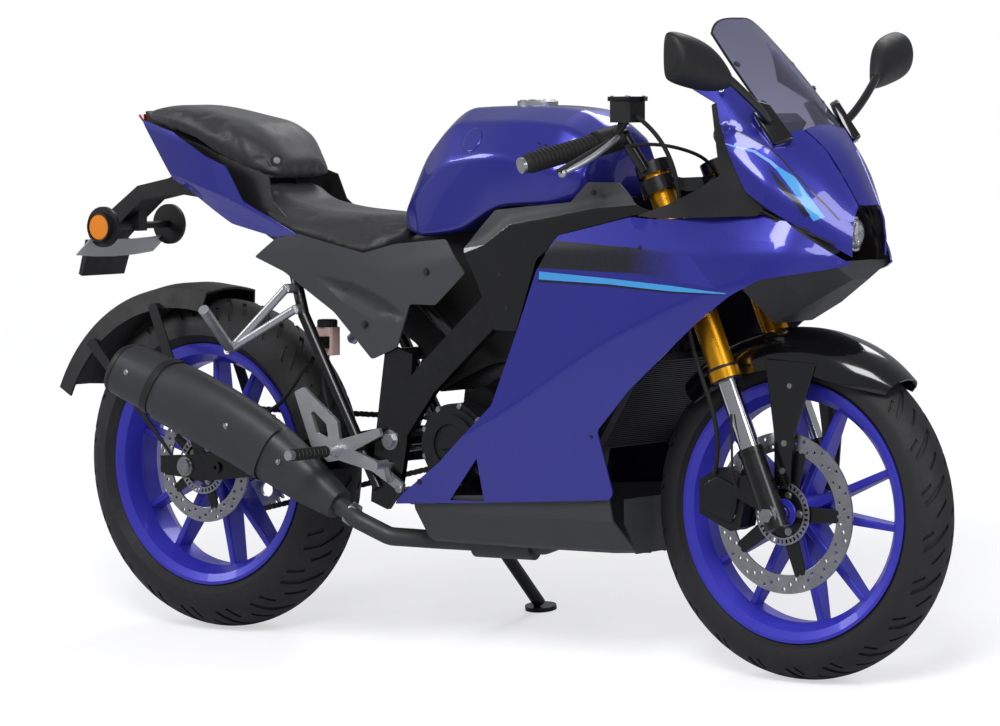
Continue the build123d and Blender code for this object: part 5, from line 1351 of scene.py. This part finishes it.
class BIKE_OT_chain(bpy.types.Operator):
    """Lay the drive chain, link by link"""
    bl_idname = "bike.chain"
    bl_label = "Chain"

    def execute(self, context):
        centres, radii = ((0, REAR_R), (592, 386)), (97.1, 28.5)
        run = Vector(centres[1]) - Vector(centres[0])
        lean = asin((radii[0] - radii[1]) / run.length)
        heading = atan2(run.y, run.x)
        path = []
        for (cx, cz), r, low, high in ((centres[0], radii[0], heading + pi / 2 - lean, heading + 3 * pi / 2
                                        + lean), (centres[1], radii[1], heading - pi / 2 + lean, heading
                                                  + pi / 2 - lean)):
            steps = 24
            path += [(cx + r * cos(low + (high - low) * k / steps), 86,
                      cz + r * sin(low + (high - low) * k / steps)) for k in range(steps + 1)]
        n = len(path)
        length = sum((Vector(a) - Vector(b)).length for a, b in zip(path, path[1:] + path[:1]))
        mesh = bpy.data.meshes.new("drive_chain")
        mesh.from_pydata([at(*p) for p in path], [(k, (k + 1) % n) for k in range(n)], [])
        obj = bpy.data.objects.new("drive_chain", mesh)
        context.scene.collection.objects.link(obj)
        dress(obj, "chain_steel", "frame", ("chain",))
        use_group(obj, self.group(), "chain_steel", Links=2 * round(length / 12.7 / 2),
                  Across=self.across_axis())
        return {"FINISHED"}

    def across_axis(self):
        return (BIKE.to_3x3() @ Vector((0, 1, 0))).normalized()

    def group(self):
        """Chain links along a closed path: rollers, pins and plates, every other link narrower."""
        group, given, result = node_group("chain_links", (("Links", "NodeSocketInt", 120),
                                                          ("Across", "NodeSocketVector", None),
                                                          ("Material", "NodeSocketMaterial", None)))
        curve = add(group, "GeometryNodeMeshToCurve", {"Mesh": given["Geometry"]})
        spots = add(group, "GeometryNodeResampleCurve", {"Curve": curve.outputs[0], "Count": given["Links"]})
        tangent = add(group, "GeometryNodeInputTangent")
        first = add(group, "FunctionNodeAlignRotationToVector", {"Vector": given["Across"]}, axis="Z")
        turn = add(group, "FunctionNodeAlignRotationToVector", {"Rotation": first.outputs[0],
                                                                "Vector": tangent.outputs[0]}, axis="X",
                   pivot_axis="Z")
        both = group.nodes.new("GeometryNodeJoinGeometry")
        roller = add(group, "GeometryNodeMeshCylinder", {"Vertices": 8, "Radius": 4 * MM, "Depth": 9 * MM})
        pin = add(group, "GeometryNodeMeshCylinder", {"Vertices": 6, "Radius": 1.9 * MM, "Depth": 15 * MM})
        group.links.new(roller.outputs["Mesh"], both.inputs[0])
        group.links.new(pin.outputs["Mesh"], both.inputs[0])
        plate = add(group, "GeometryNodeMeshCylinder", {"Vertices": 10, "Radius": 1.0, "Depth": 1.0})
        for side in (-1, 1):
            moved = add(group, "GeometryNodeTransform",
                        {"Geometry": plate.outputs["Mesh"], "Translation": (6.35 * MM, 0, side * 5.6 * MM),
                         "Scale": (10.6 * MM, 5.2 * MM, 1.4 * MM)})
            group.links.new(moved.outputs[0], both.inputs[0])
        index = add(group, "GeometryNodeInputIndex")
        odd = add(group, "ShaderNodeMath", {0: index.outputs[0], 1: 2.0}, operation="MODULO")
        wide = add(group, "ShaderNodeMath", {0: odd.outputs[0], 1: 0.22, 2: 0.84}, operation="MULTIPLY_ADD")
        scale = add(group, "ShaderNodeCombineXYZ", {0: 1.0, 1: 1.0, 2: wide.outputs[0]})
        copies = add(group, "GeometryNodeInstanceOnPoints", {"Points": spots.outputs[0],
                                                             "Instance": both.outputs[0],
                                                             "Rotation": turn.outputs[0],
                                                             "Scale": scale.outputs[0]})
        real = add(group, "GeometryNodeRealizeInstances", {"Geometry": copies.outputs[0]})
        painted = add(group, "GeometryNodeSetMaterial", {"Geometry": real.outputs[0],
                                                         "Material": given["Material"]})
        group.links.new(painted.outputs[0], result["Geometry"])
        return group


class BIKE_OT_exhaust(bpy.types.Operator):
    """Roll the muffler with its heat shield, cap, clamp and screws"""
    bl_idname = "bike.exhaust"
    bl_label = "Exhaust"

    def execute(self, context):
        rings = ((398, -148, 266, 52, 56), (330, -160, 310, 76, 92), (250, -172, 366, 92, 110),
                 (120, -186, 430, 104, 120), (0, -191, 474, 102, 114), (-80, -192, 500, 94, 104))
        self.can("muffler_body", rings, 0, 1, "muffler_grey", ("muffler",))
        shield = [self.between(rings, t) for t in (0.36, 0.45, 0.55, 0.65, 0.74)]
        self.can("muffler_shield", shield, 3.5, 0.42, "muffler_grey", closed=False)
        band = [self.between(rings, t) for t in (0.765, 0.775, 0.79)]
        self.can("muffler_seam", band, 1.5, 1, "black_plastic")
        end = [(-78, -192, 499, 96, 106), (-84, -192, 502, 96, 106), (-92, -192, 507, 84, 92),
               (-95, -192, 508, 60, 66)]
        self.can("muffler_cap", end, 0, 1, "black_plastic", ("muffler",))
        rows = [(300, -206, 345, (-0.2, -1, 0.2), 4.5), (196, -232, 408, (-0.1, -1, 0.1), 4.5),
                (90, -238, 462, (0, -1, 0.1), 4), (-40, -241, 498, (0, -1, 0.1), 4)]
        screws("muffler_screws", rows, "steel")
        clamp = [(430, -140, 246), (418, -143, 253)]
        pipe("exhaust_clamp", clamp, 22, "steel", soft=False, steps=20)
        return {"FINISHED"}

    def between(self, rings, t):
        """The ring at share t of the muffler's length."""
        place = t * (len(rings) - 1)
        k = min(int(place), len(rings) - 2)
        return [a + (b - a) * (place - k) for a, b in zip(rings[k], rings[k + 1])]

    def can(self, name, rings, lift, share, slot, replaces=(), closed=True):
        """Rounded rings along the muffler; share is how much of each, from its outer side, is drawn."""
        across, up = Vector((0, 1, 0)), Vector((0.493, 0, 0.87))
        steps = 40
        rows = []
        for x, y, z, w, h in rings:
            row = []
            for k in range(steps + (share < 1)):
                a = pi + (k / steps - 0.5) * 2 * pi * share if share < 1 else pi + 2 * pi * k / steps
                c, s = cos(a), sin(a)
                reach = 1 / (abs(c) ** 2.7 + abs(s) ** 2.7) ** (1 / 2.7)
                p = Vector((x, y, z)) + across * (w / 2 + lift) * c * reach + up * (h / 2 + lift) * s * reach
                row.append(tuple(p))
            rows.append(row)
        if closed:
            n = steps
            points = [p for row in rows for p in row]
            faces = [(i * n + k, i * n + (k + 1) % n, (i + 1) * n + (k + 1) % n, (i + 1) * n + k)
                     for i in range(len(rows) - 1) for k in range(n)]
            faces += [tuple(range(n)), tuple((len(rows) - 1) * n + k for k in reversed(range(n)))]
            obj = new_mesh(name, points, faces)
            dress(obj, slot, "frame", replaces)
            fine = obj.modifiers.new("fine", "SUBSURF")
            fine.levels = fine.render_levels = 2 if name == "muffler_body" else 1
            return smooth(finish_mesh(obj), 35)
        obj = shell(name, rows, slot, replaces=replaces, wall=0)
        thick = obj.modifiers.new("wall", "SOLIDIFY")
        thick.thickness = 2 * MM
        thick.offset = 0
        return smooth(finish_mesh(obj), 35)


class BIKE_OT_mirrors(bpy.types.Operator):
    """Mould the mirror heads with their glass, stalks and bases"""
    bl_idname = "bike.mirrors"
    bl_label = "Mirrors"

    def execute(self, context):
        heads, glasses, stalks = [], [], []
        for hand in (1, -1):
            rows = []
            for inset, x, z, w, h in ((140, 1320, 1048, 12, 20), (132, 1318, 1051, 26, 44),
                                      (100, 1308, 1070, 46, 88), (50, 1303, 1082, 48, 96),
                                      (12, 1299, 1089, 45, 92), (2, 1297, 1090, 40, 80),
                                      (0, 1296, 1091, 26, 56)):
                y = (366 - inset) * hand
                ring = [(x + w / 2 * cx, y, z + h / 2 * cz) for cx,
                        cz in ((-1, -0.86), (-1, 0.86), (-0.6, 1), (0.5, 0.8), (1, 0.3), (1, -0.3),
                               (0.5, -0.8), (-0.6, -1))]
                rows.append(ring)
            head = new_mesh("mirror_head", [p for row in rows for p in row],
                            tube_faces(len(rows), len(rows[0])))
            dress(head, "black_plastic", "frame", ("mirrors",))
            fine = head.modifiers.new("fine", "SUBSURF")
            fine.levels = fine.render_levels = 3
            heads.append(smooth(finish_mesh(head), 50))
            edge = rounded([(262, 1046), (262, 1088), (300, 1112), (354, 1118), (358, 1070), (320, 1052)], 12)
            flat, faces = cut_sheet(edge, step=7)
            order = 1 if hand < 0 else -1
            pane = new_mesh("mirror_glass", [(1270, y * hand, z) for y, z in flat],
                            [f[::order] for f, _ in faces])
            dress(pane, "mirror_glass")
            glasses.append(laid(pane, heads[-1], 0.8, 1.5))
            stalks.append(pipe("stalk", [(1330, 116 * hand, 972), (1336, 150 * hand, 992),
                                         (1330, 200 * hand, 1030), (1321, 234 * hand, 1052)], 7.5,
                               "gloss_black"))
            base = [(1362, 96, 940), (1338, 122, 930), (1300, 128, 984), (1296, 118, 1006), (1312, 100, 1000)]
            foot = hull("mirror_foot", [(x + out, (y + out) * hand, z + 0.8 * out) for x, y, z in base
                                        for out in (0, 10)])
            dress(foot, "gloss_black")
            soft = foot.modifiers.new("soft", "BEVEL")
            soft.width = 4 * MM
            soft.segments = 3
            stalks.append(smooth(finish_mesh(foot), 40))
        merged("mirror_heads", heads)
        glass = merged("mirror_glasses", glasses)
        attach(glass, "frame")
        arms = merged("mirror_arms", stalks)
        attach(arms, "frame")
        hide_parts("mirrors")
        rows = [(1352, -114, 956, (0.6, -0.6, 0.5), 5), (1312, -124, 1004, (0.6, -0.6, 0.5), 5)]
        screws("mirror_screws", both_sides(rows), "steel", sides=12)
        return {"FINISHED"}


class BIKE_OT_fenders(bpy.types.Operator):
    """Mould the front fender with its stays and screws"""
    bl_idname = "bike.fenders"
    bl_label = "Fenders"

    def execute(self, context):
        arch = ((0, 318), (16, 317), (34, 313), (52, 303), (64, 290), (72, 276), (72, 250))
        rows = []
        for i in range(49):
            a = radians(-46 + 88 * i / 48)
            tip = max(0, (i - 34) / 14) ** 2
            heel = max(0, (10 - i) / 10) ** 2
            row = []
            for y, r in [(-y, r) for y, r in reversed(arch)] + list(arch[1:]):
                narrow = 1 - 0.42 * tip - 0.12 * heel
                rise = r + (317 - r) * (0.55 * tip + 0.2 * heel)
                turn = radians(90) - a
                row.append((WHEELBASE + rise * cos(turn), y * narrow, FRONT_R + rise * sin(turn)))
            rows.append(row)
        shell("fender_arch", rows, "gloss_black", "steering", ("front_fender",), wall=3)
        for hand, side in ((-1, "right"), (1, "left")):
            slab(f"fender_stay_{side}", [(1292, 566), (1398, 560), (1352, 430), (1345, 345), (1312, 345),
                                         (1312, 430)], 72.5 * hand, 78 * hand, "gloss_black", "steering",
                 ("front_fender",), bevel=1.5, radius=8)
        rows = [(1330, -78.5, 372, (0, -1, 0), 6), (1334, -78.5, 420, (0, -1, 0), 6),
                (1345, -78.5, 520, (0, -1, 0), 5)]
        screws("fender_screws", both_sides(rows), "steel", "steering")
        return {"FINISHED"}


class BIKE_OT_steering_parts(bpy.types.Operator):
    """Add levers, a reservoir lid, grips, caps, rings, nuts, bolts and cables to the steering"""
    bl_idname = "bike.steering_parts"
    bl_label = "Steering parts"

    def execute(self, context):
        levers = []
        for hand in (-1, 1):
            points = [(1056, 186, 948), (1066, 206, 944), (1062, 236, 928), (1048, 276, 904),
                      (1032, 308, 890)]
            levers.append(pipe("lever", [(x, y * hand, z) for x, y, z in points], 5.5, "alloy", "steering"))
            ball = new_mesh("ball", [], [])
            work = bmesh.new()
            bmesh.ops.create_icosphere(work, subdivisions=3, radius=8.5 * MM,
                                       matrix=Matrix.Translation(at(1030, 312 * hand, 888)))
            work.to_mesh(ball.data)
            work.free()
            dress(ball, "alloy", "steering")
            levers.append(smooth(ball, 60))
        merged("levers", levers)
        grips, ends = [], []
        for hand in (-1, 1):
            a, b = Vector((1026, 205 * hand, 937)), Vector((970, 332 * hand, 904))
            run = (b - a).normalized()
            for k in range(16):
                p = a + (b - a) * (0.08 + 0.86 * k / 15)
                grips.append(pipe("rib", [tuple(p - run * 2.2), tuple(p + run * 2.2)], 18.3, "rubber",
                                  "steering", soft=False, steps=20))
            grips.append(pipe("flange", [tuple(a - run * 1), tuple(a + run * 4)], 22, "rubber", "steering",
                              soft=False, steps=24))
            ends.append(pipe("bar_end", [tuple(b + run * 2), tuple(b + run * 15)], 14, "steel", "steering",
                             soft=False, steps=24))
        merged("grip_ribs", grips)
        merged("bar_ends", ends)
        rings = []
        for y in (-LEG_Y, LEG_Y):
            for low, high, r in ((246, 250, 27), (268, 273, 28.6), (112, 122, 23.4)):
                rings.append(pipe("ring", [up_leg(low, y=y), up_leg(high, y=y)], r, "black_frame", "steering",
                                  soft=False, steps=32))
        merged("fork_rings", rings)
        rows = [(WHEELBASE, -120, FRONT_R, (0, -1, 0), 13), (WHEELBASE, 120, FRONT_R, (0, 1, 0), 13)]
        screws("front_axle_nuts", rows, "steel", "steering")
        rows = [(*up_leg(h, 34, y), (0.9, 0, 0.4), 5) for h in (476, 490, 606, 620) for y in (-LEG_Y, LEG_Y)]
        screws("clamp_bolts", rows, "steel", "steering")
        # fluid reservoir: the lid and screws of its square cup
        slab("reservoir_lid", [(1048, 1011), (1096, 1011), (1096, 1019), (1048, 1019)], -150, -206,
             "gloss_black", "steering", bevel=2)
        rows = [(x, y, 1019.5, (0, 0, 1), 3) for x in (1054, 1090) for y in (-156, -200)]
        screws("reservoir_screws", rows, "steel", "steering", sides=12)
        cables = [("throttle_cable", [(1046, -176, 930), (1090, -150, 940), (1140, -90, 930),
                                      (1150, -20, 900), (1130, 20, 860)], 3.2),
                  ("clutch_cable", [(1050, 180, 946), (1100, 150, 950), (1150, 80, 930), (1150, 10, 890),
                                    (1120, -30, 850)], 3.2), ("switch_wire",
                                                              [(1040, 176, 925), (1080, 150, 900),
                                                               (1110, 90, 880), (1110, 30, 860)], 3.6)]
        for name, points, r in cables:
            pipe(name, points, r, "rubber", "steering")
        return {"FINISHED"}


class BIKE_OT_engine_parts(bpy.types.Operator):
    """Add the engine's screws, hoses, radiator fins and fillers"""
    bl_idname = "bike.engine_parts"
    bl_label = "Engine and cooling parts"

    def execute(self, context):
        rows = [(658 + 70 * cos(a), -138.5, 389 + 70 * sin(a), (0, -1, 0), 5)
                for a in (2 * pi * k / 9 for k in range(9))]
        rows += [(772 + 28 * cos(a), -122.5, 322 + 28 * sin(a), (0, -1, 0), 4)
                 for a in (2 * pi * k / 5 for k in range(5))]
        rows += [(x, -96.5, z, (0, -1, 0), 4.5) for x, z in ((596, 296), (640, 272), (700, 268), (766, 268),
                                                             (820, 292), (830, 346), (776, 398),
                                                             (598, 394))]
        rows += [(702 + 56 * cos(a), 122.5, 350 + 56 * sin(a), (0, 1, 0), 4.5)
                 for a in (2 * pi * k / 8 for k in range(8))]
        screws("engine_screws", rows, "steel")
        turned("oil_filler", (600, -118, 330), [(0, 12), (-10, 12), (-12, 10), (-12, 0.4), (0, 0.4)],
               "black_plastic")
        pipe("coolant_hose_low", [(920, -96, 420), (896, -98, 390), (868, -100, 350), (820, -112, 330),
                                  (790, -116, 326)], 11, "rubber")
        pipe("coolant_hose_top", [(1010, 96, 560), (980, 90, 600), (930, 60, 620), (880, 30, 600)], 11,
             "rubber")
        face = Vector((-0.85, 0, 0.527))
        along = Vector((0.527, 0, 0.85))
        points, faces = [], []
        for k in range(40):
            mid = Vector((1010, 0, 470)) + along * (-88 + 176 * k / 39)
            corners = [mid + face * d + along * t for d, t in ((3.2, -1.1), (0.6, -1.1), (0.6, 1.1),
                                                               (3.2, 1.1))]
            first = len(points)
            points += [(c.x, y, c.z) for y in (-102, 102) for c in corners]
            faces += [tuple(first + q for q in f) for f in ((0, 1, 2, 3), (7, 6, 5, 4), (0, 4, 5, 1),
                                                            (1, 5, 6, 2), (2, 6, 7, 3), (3, 7, 4, 0))]
        obj = new_mesh("radiator_fins", points, faces)
        dress(obj, "fin_alloy", "frame")
        finish_mesh(obj)
        self.cap("rear_cup_cap", (322, -86, 588), 19, 14)
        pipe("rear_cup_hose", [(322, -86, 537), (318, -90, 516), (330, -110, 480), (360, -128, 430),
                               (392, -140, 380)], 5, "rubber")
        rows = [(394, -169, 366, (0, -1, 0), 7), (500, -145, 340, (0, -1, 0), 8),
                (165, -188, 545, (0, -1, 0.3), 6), (540, -152, 304, (0, -1, 0), 6)]
        screws("footrest_bolts", both_sides(rows), "steel")
        rubbers = []
        for hand in (-1, 1):
            for k in range(9):
                y = (182 + k * 11) * hand
                rubbers.append(pipe("rib", [(394, y, 366), (394, y + 7 * hand, 366)], 11, "rubber",
                                    soft=False, steps=20))
        merged("peg_rubbers", rubbers)
        rows = [(0, -122, REAR_R, (0, -1, 0), 13), (508, -138, 390, (0, -1, 0), 13)]
        screws("rear_axle_nuts", both_sides(rows), "steel")
        return {"FINISHED"}

    def cap(self, name, centre, radius, height):
        """A ribbed screw cap."""
        points, n = [], 36
        for z, grow in ((0, 1), (height * 0.85, 1), (height, 0.86)):
            for k in range(n):
                r = radius * grow * (1.0 if k % 3 else 0.93)
                a = 2 * pi * k / n
                points.append((centre[0] + r * cos(a), centre[1] + r * sin(a), centre[2] + z))
        faces = [(i * n + k, i * n + (k + 1) % n, (i + 1) * n + (k + 1) % n, (i + 1) * n + k)
                 for i in (0, 1) for k in range(n)]
        faces += [tuple(reversed(range(n))), tuple(2 * n + k for k in range(n))]
        obj = new_mesh(name, points, faces)
        dress(obj, "black_plastic", "frame")
        return smooth(finish_mesh(obj), 30)


# ---- Stage: floor, light and camera
CAMERA = {"azimuth": 37.09, "elevation": 3.80, "roll": -0.12, "aim": (658, 0, 529), "distance": 8760,
          "lens": 172.6}
FLOOR_HALF = 40          # metres
SHADOW_REACH = (1.5, 5.0)                # metres from the middle, over which the floor turns plain white


class BIKE_OT_stage(bpy.types.Operator):
    """Lay the floor, hang the soft lights and set the camera"""
    bl_idname = "bike.stage"
    bl_label = "Stage"

    def execute(self, context):
        mesh = bpy.data.meshes.new("floor")
        r = FLOOR_HALF
        mesh.from_pydata([(-r, -r, 0), (r, -r, 0), (r, r, 0), (-r, r, 0)], [], [(0, 1, 2, 3)])
        floor = bpy.data.objects.new("floor", mesh)
        context.scene.collection.objects.link(floor)
        mesh.materials.append(self.floor_paint())
        self.sky(context.scene)
        self.lamp("key", (2.2, -3.6, 5.6), 2.6, 230)
        self.lamp("front", (5.4, -1.0, 2.6), 1.8, 60)
        self.lamp("rear", (-4.6, -2.6, 3.2), 1.8, 70)
        self.lamp("far", (-1.0, 4.6, 4.2), 2.4, 90)
        self.camera(context.scene)
        context.scene.view_settings.view_transform = "Standard"
        return {"FINISHED"}

    def floor_paint(self):
        """Pale matt floor that keeps the bike's shadow and turns white further out, to the camera alone."""
        mat = bpy.data.materials.new("pale_studio_floor")
        mat.use_nodes = True
        mat.node_tree.nodes.clear()
        tree = mat.node_tree
        path = add(tree, "ShaderNodeLightPath").outputs["Is Camera Ray"]
        place = add(tree, "ShaderNodeTexCoord").outputs["Object"]
        away = add(tree, "ShaderNodeVectorMath", {0: place}, operation="LENGTH").outputs["Value"]
        far = add(tree, "ShaderNodeMapRange", {"Value": away, "From Min": SHADOW_REACH[0],
                                               "From Max": SHADOW_REACH[1]})
        seen = add(tree, "ShaderNodeMath", {0: path, 1: far.outputs["Result"]}, operation="MULTIPLY")
        matt = add(tree, "ShaderNodeBsdfDiffuse", {"Color": linear("#c6c6ca")})
        light = add(tree, "ShaderNodeMath", {0: path, 1: 0.56}, operation="MULTIPLY")
        glow = add(tree, "ShaderNodeEmission", {"Color": (1, 1, 1, 1), "Strength": light.outputs[0]})
        near = add(tree, "ShaderNodeAddShader", {0: matt.outputs[0], 1: glow.outputs[0]})
        white = add(tree, "ShaderNodeEmission", {"Color": (1, 1, 1, 1), "Strength": 1.0})
        both = add(tree, "ShaderNodeMixShader", {0: seen.outputs[0], 1: near.outputs[0], 2: white.outputs[0]})
        add(tree, "ShaderNodeOutputMaterial", {"Surface": both.outputs[0]})
        return mat

    def sky(self, scene):
        """Soft even light all round, seen as plain white."""
        world = bpy.data.worlds.new("pale_studio")
        scene.world = world
        world.use_nodes = True
        tree = world.node_tree
        tree.nodes.clear()
        path = add(tree, "ShaderNodeLightPath")
        soft = add(tree, "ShaderNodeBackground", {"Color": linear("#eceef2"), "Strength": 0.34})
        white = add(tree, "ShaderNodeBackground", {"Color": (1, 1, 1, 1), "Strength": 1.0})
        mixed = add(tree, "ShaderNodeMixShader", {0: path.outputs["Is Camera Ray"], 1: soft.outputs[0],
                                                  2: white.outputs[0]})
        add(tree, "ShaderNodeOutputWorld", {"Surface": mixed.outputs[0]})

    def lamp(self, name, place, size, power):
        """A square soft lamp aimed at the bike's middle."""
        data = bpy.data.lights.new(name, "AREA")
        data.size = size
        data.energy = power
        obj = bpy.data.objects.new(name, data)
        obj.location = place
        obj.rotation_euler = (Vector((0, 0, 0.5)) - Vector(place)).to_track_quat("-Z", "Y").to_euler()
        bpy.context.scene.collection.objects.link(obj)

    def camera(self, scene):
        """The camera, placed in the upright bike's axes."""
        a, e, roll = (radians(CAMERA[k]) for k in ("azimuth", "elevation", "roll"))
        back = Vector((sin(a) * cos(e), -cos(a) * cos(e), sin(e)))
        right = Vector((cos(a), sin(a), 0))
        up = back.cross(right)
        turned = cos(roll) * right + sin(roll) * up
        upright = -sin(roll) * right + cos(roll) * up
        place = Vector(CAMERA["aim"]) + back * CAMERA["distance"]
        turn = BIKE.to_3x3() * (1 / MM)
        data = bpy.data.cameras.new("bike_camera")
        data.lens = CAMERA["lens"]
        data.sensor_width = 36
        data.sensor_fit = "HORIZONTAL"
        data.clip_end = 100
        camera = bpy.data.objects.new("bike_camera", data)
        axes = Matrix([turn @ turned, turn @ upright, turn @ back]).transposed().to_4x4()
        camera.matrix_world = Matrix.Translation(BIKE @ place) @ axes
        scene.collection.objects.link(camera)
        scene.camera = camera


OPERATORS = (BIKE_OT_finishes, BIKE_OT_fairings, BIKE_OT_nose, BIKE_OT_screen, BIKE_OT_tank, BIKE_OT_seats,
             BIKE_OT_tail, BIKE_OT_covers, BIKE_OT_tyres, BIKE_OT_brakes, BIKE_OT_chain, BIKE_OT_exhaust,
             BIKE_OT_mirrors, BIKE_OT_fenders, BIKE_OT_steering_parts, BIKE_OT_engine_parts, BIKE_OT_stage)


class BIKE_PT_panel(bpy.types.Panel):
    """Lists the steps that dress the motorcycle"""
    bl_label = "Motorcycle"
    bl_space_type = "VIEW_3D"
    bl_region_type = "UI"
    bl_category = "Motorcycle"

    def draw(self, context):
        for group in (context.scene.bike_sizes, context.scene.bike_colours):
            for key in type(group).__annotations__:
                self.layout.prop(group, key)
        for operator in OPERATORS:
            self.layout.operator(operator.bl_idname)


CLASSES = (BikeSizes, BikeColours) + OPERATORS + (BIKE_PT_panel,)


def register():
    for cls in CLASSES:
        bpy.utils.register_class(cls)
    bpy.types.Scene.bike_sizes = bpy.props.PointerProperty(type=BikeSizes)
    bpy.types.Scene.bike_colours = bpy.props.PointerProperty(type=BikeColours)


def unregister():
    del bpy.types.Scene.bike_sizes
    del bpy.types.Scene.bike_colours
    for cls in reversed(CLASSES):
        bpy.utils.unregister_class(cls)


def main():
    register()
    for operator in OPERATORS:
        group, step = operator.bl_idname.split(".")
        getattr(getattr(bpy.ops, group), step)()


if __name__ == "__main__":
    main()
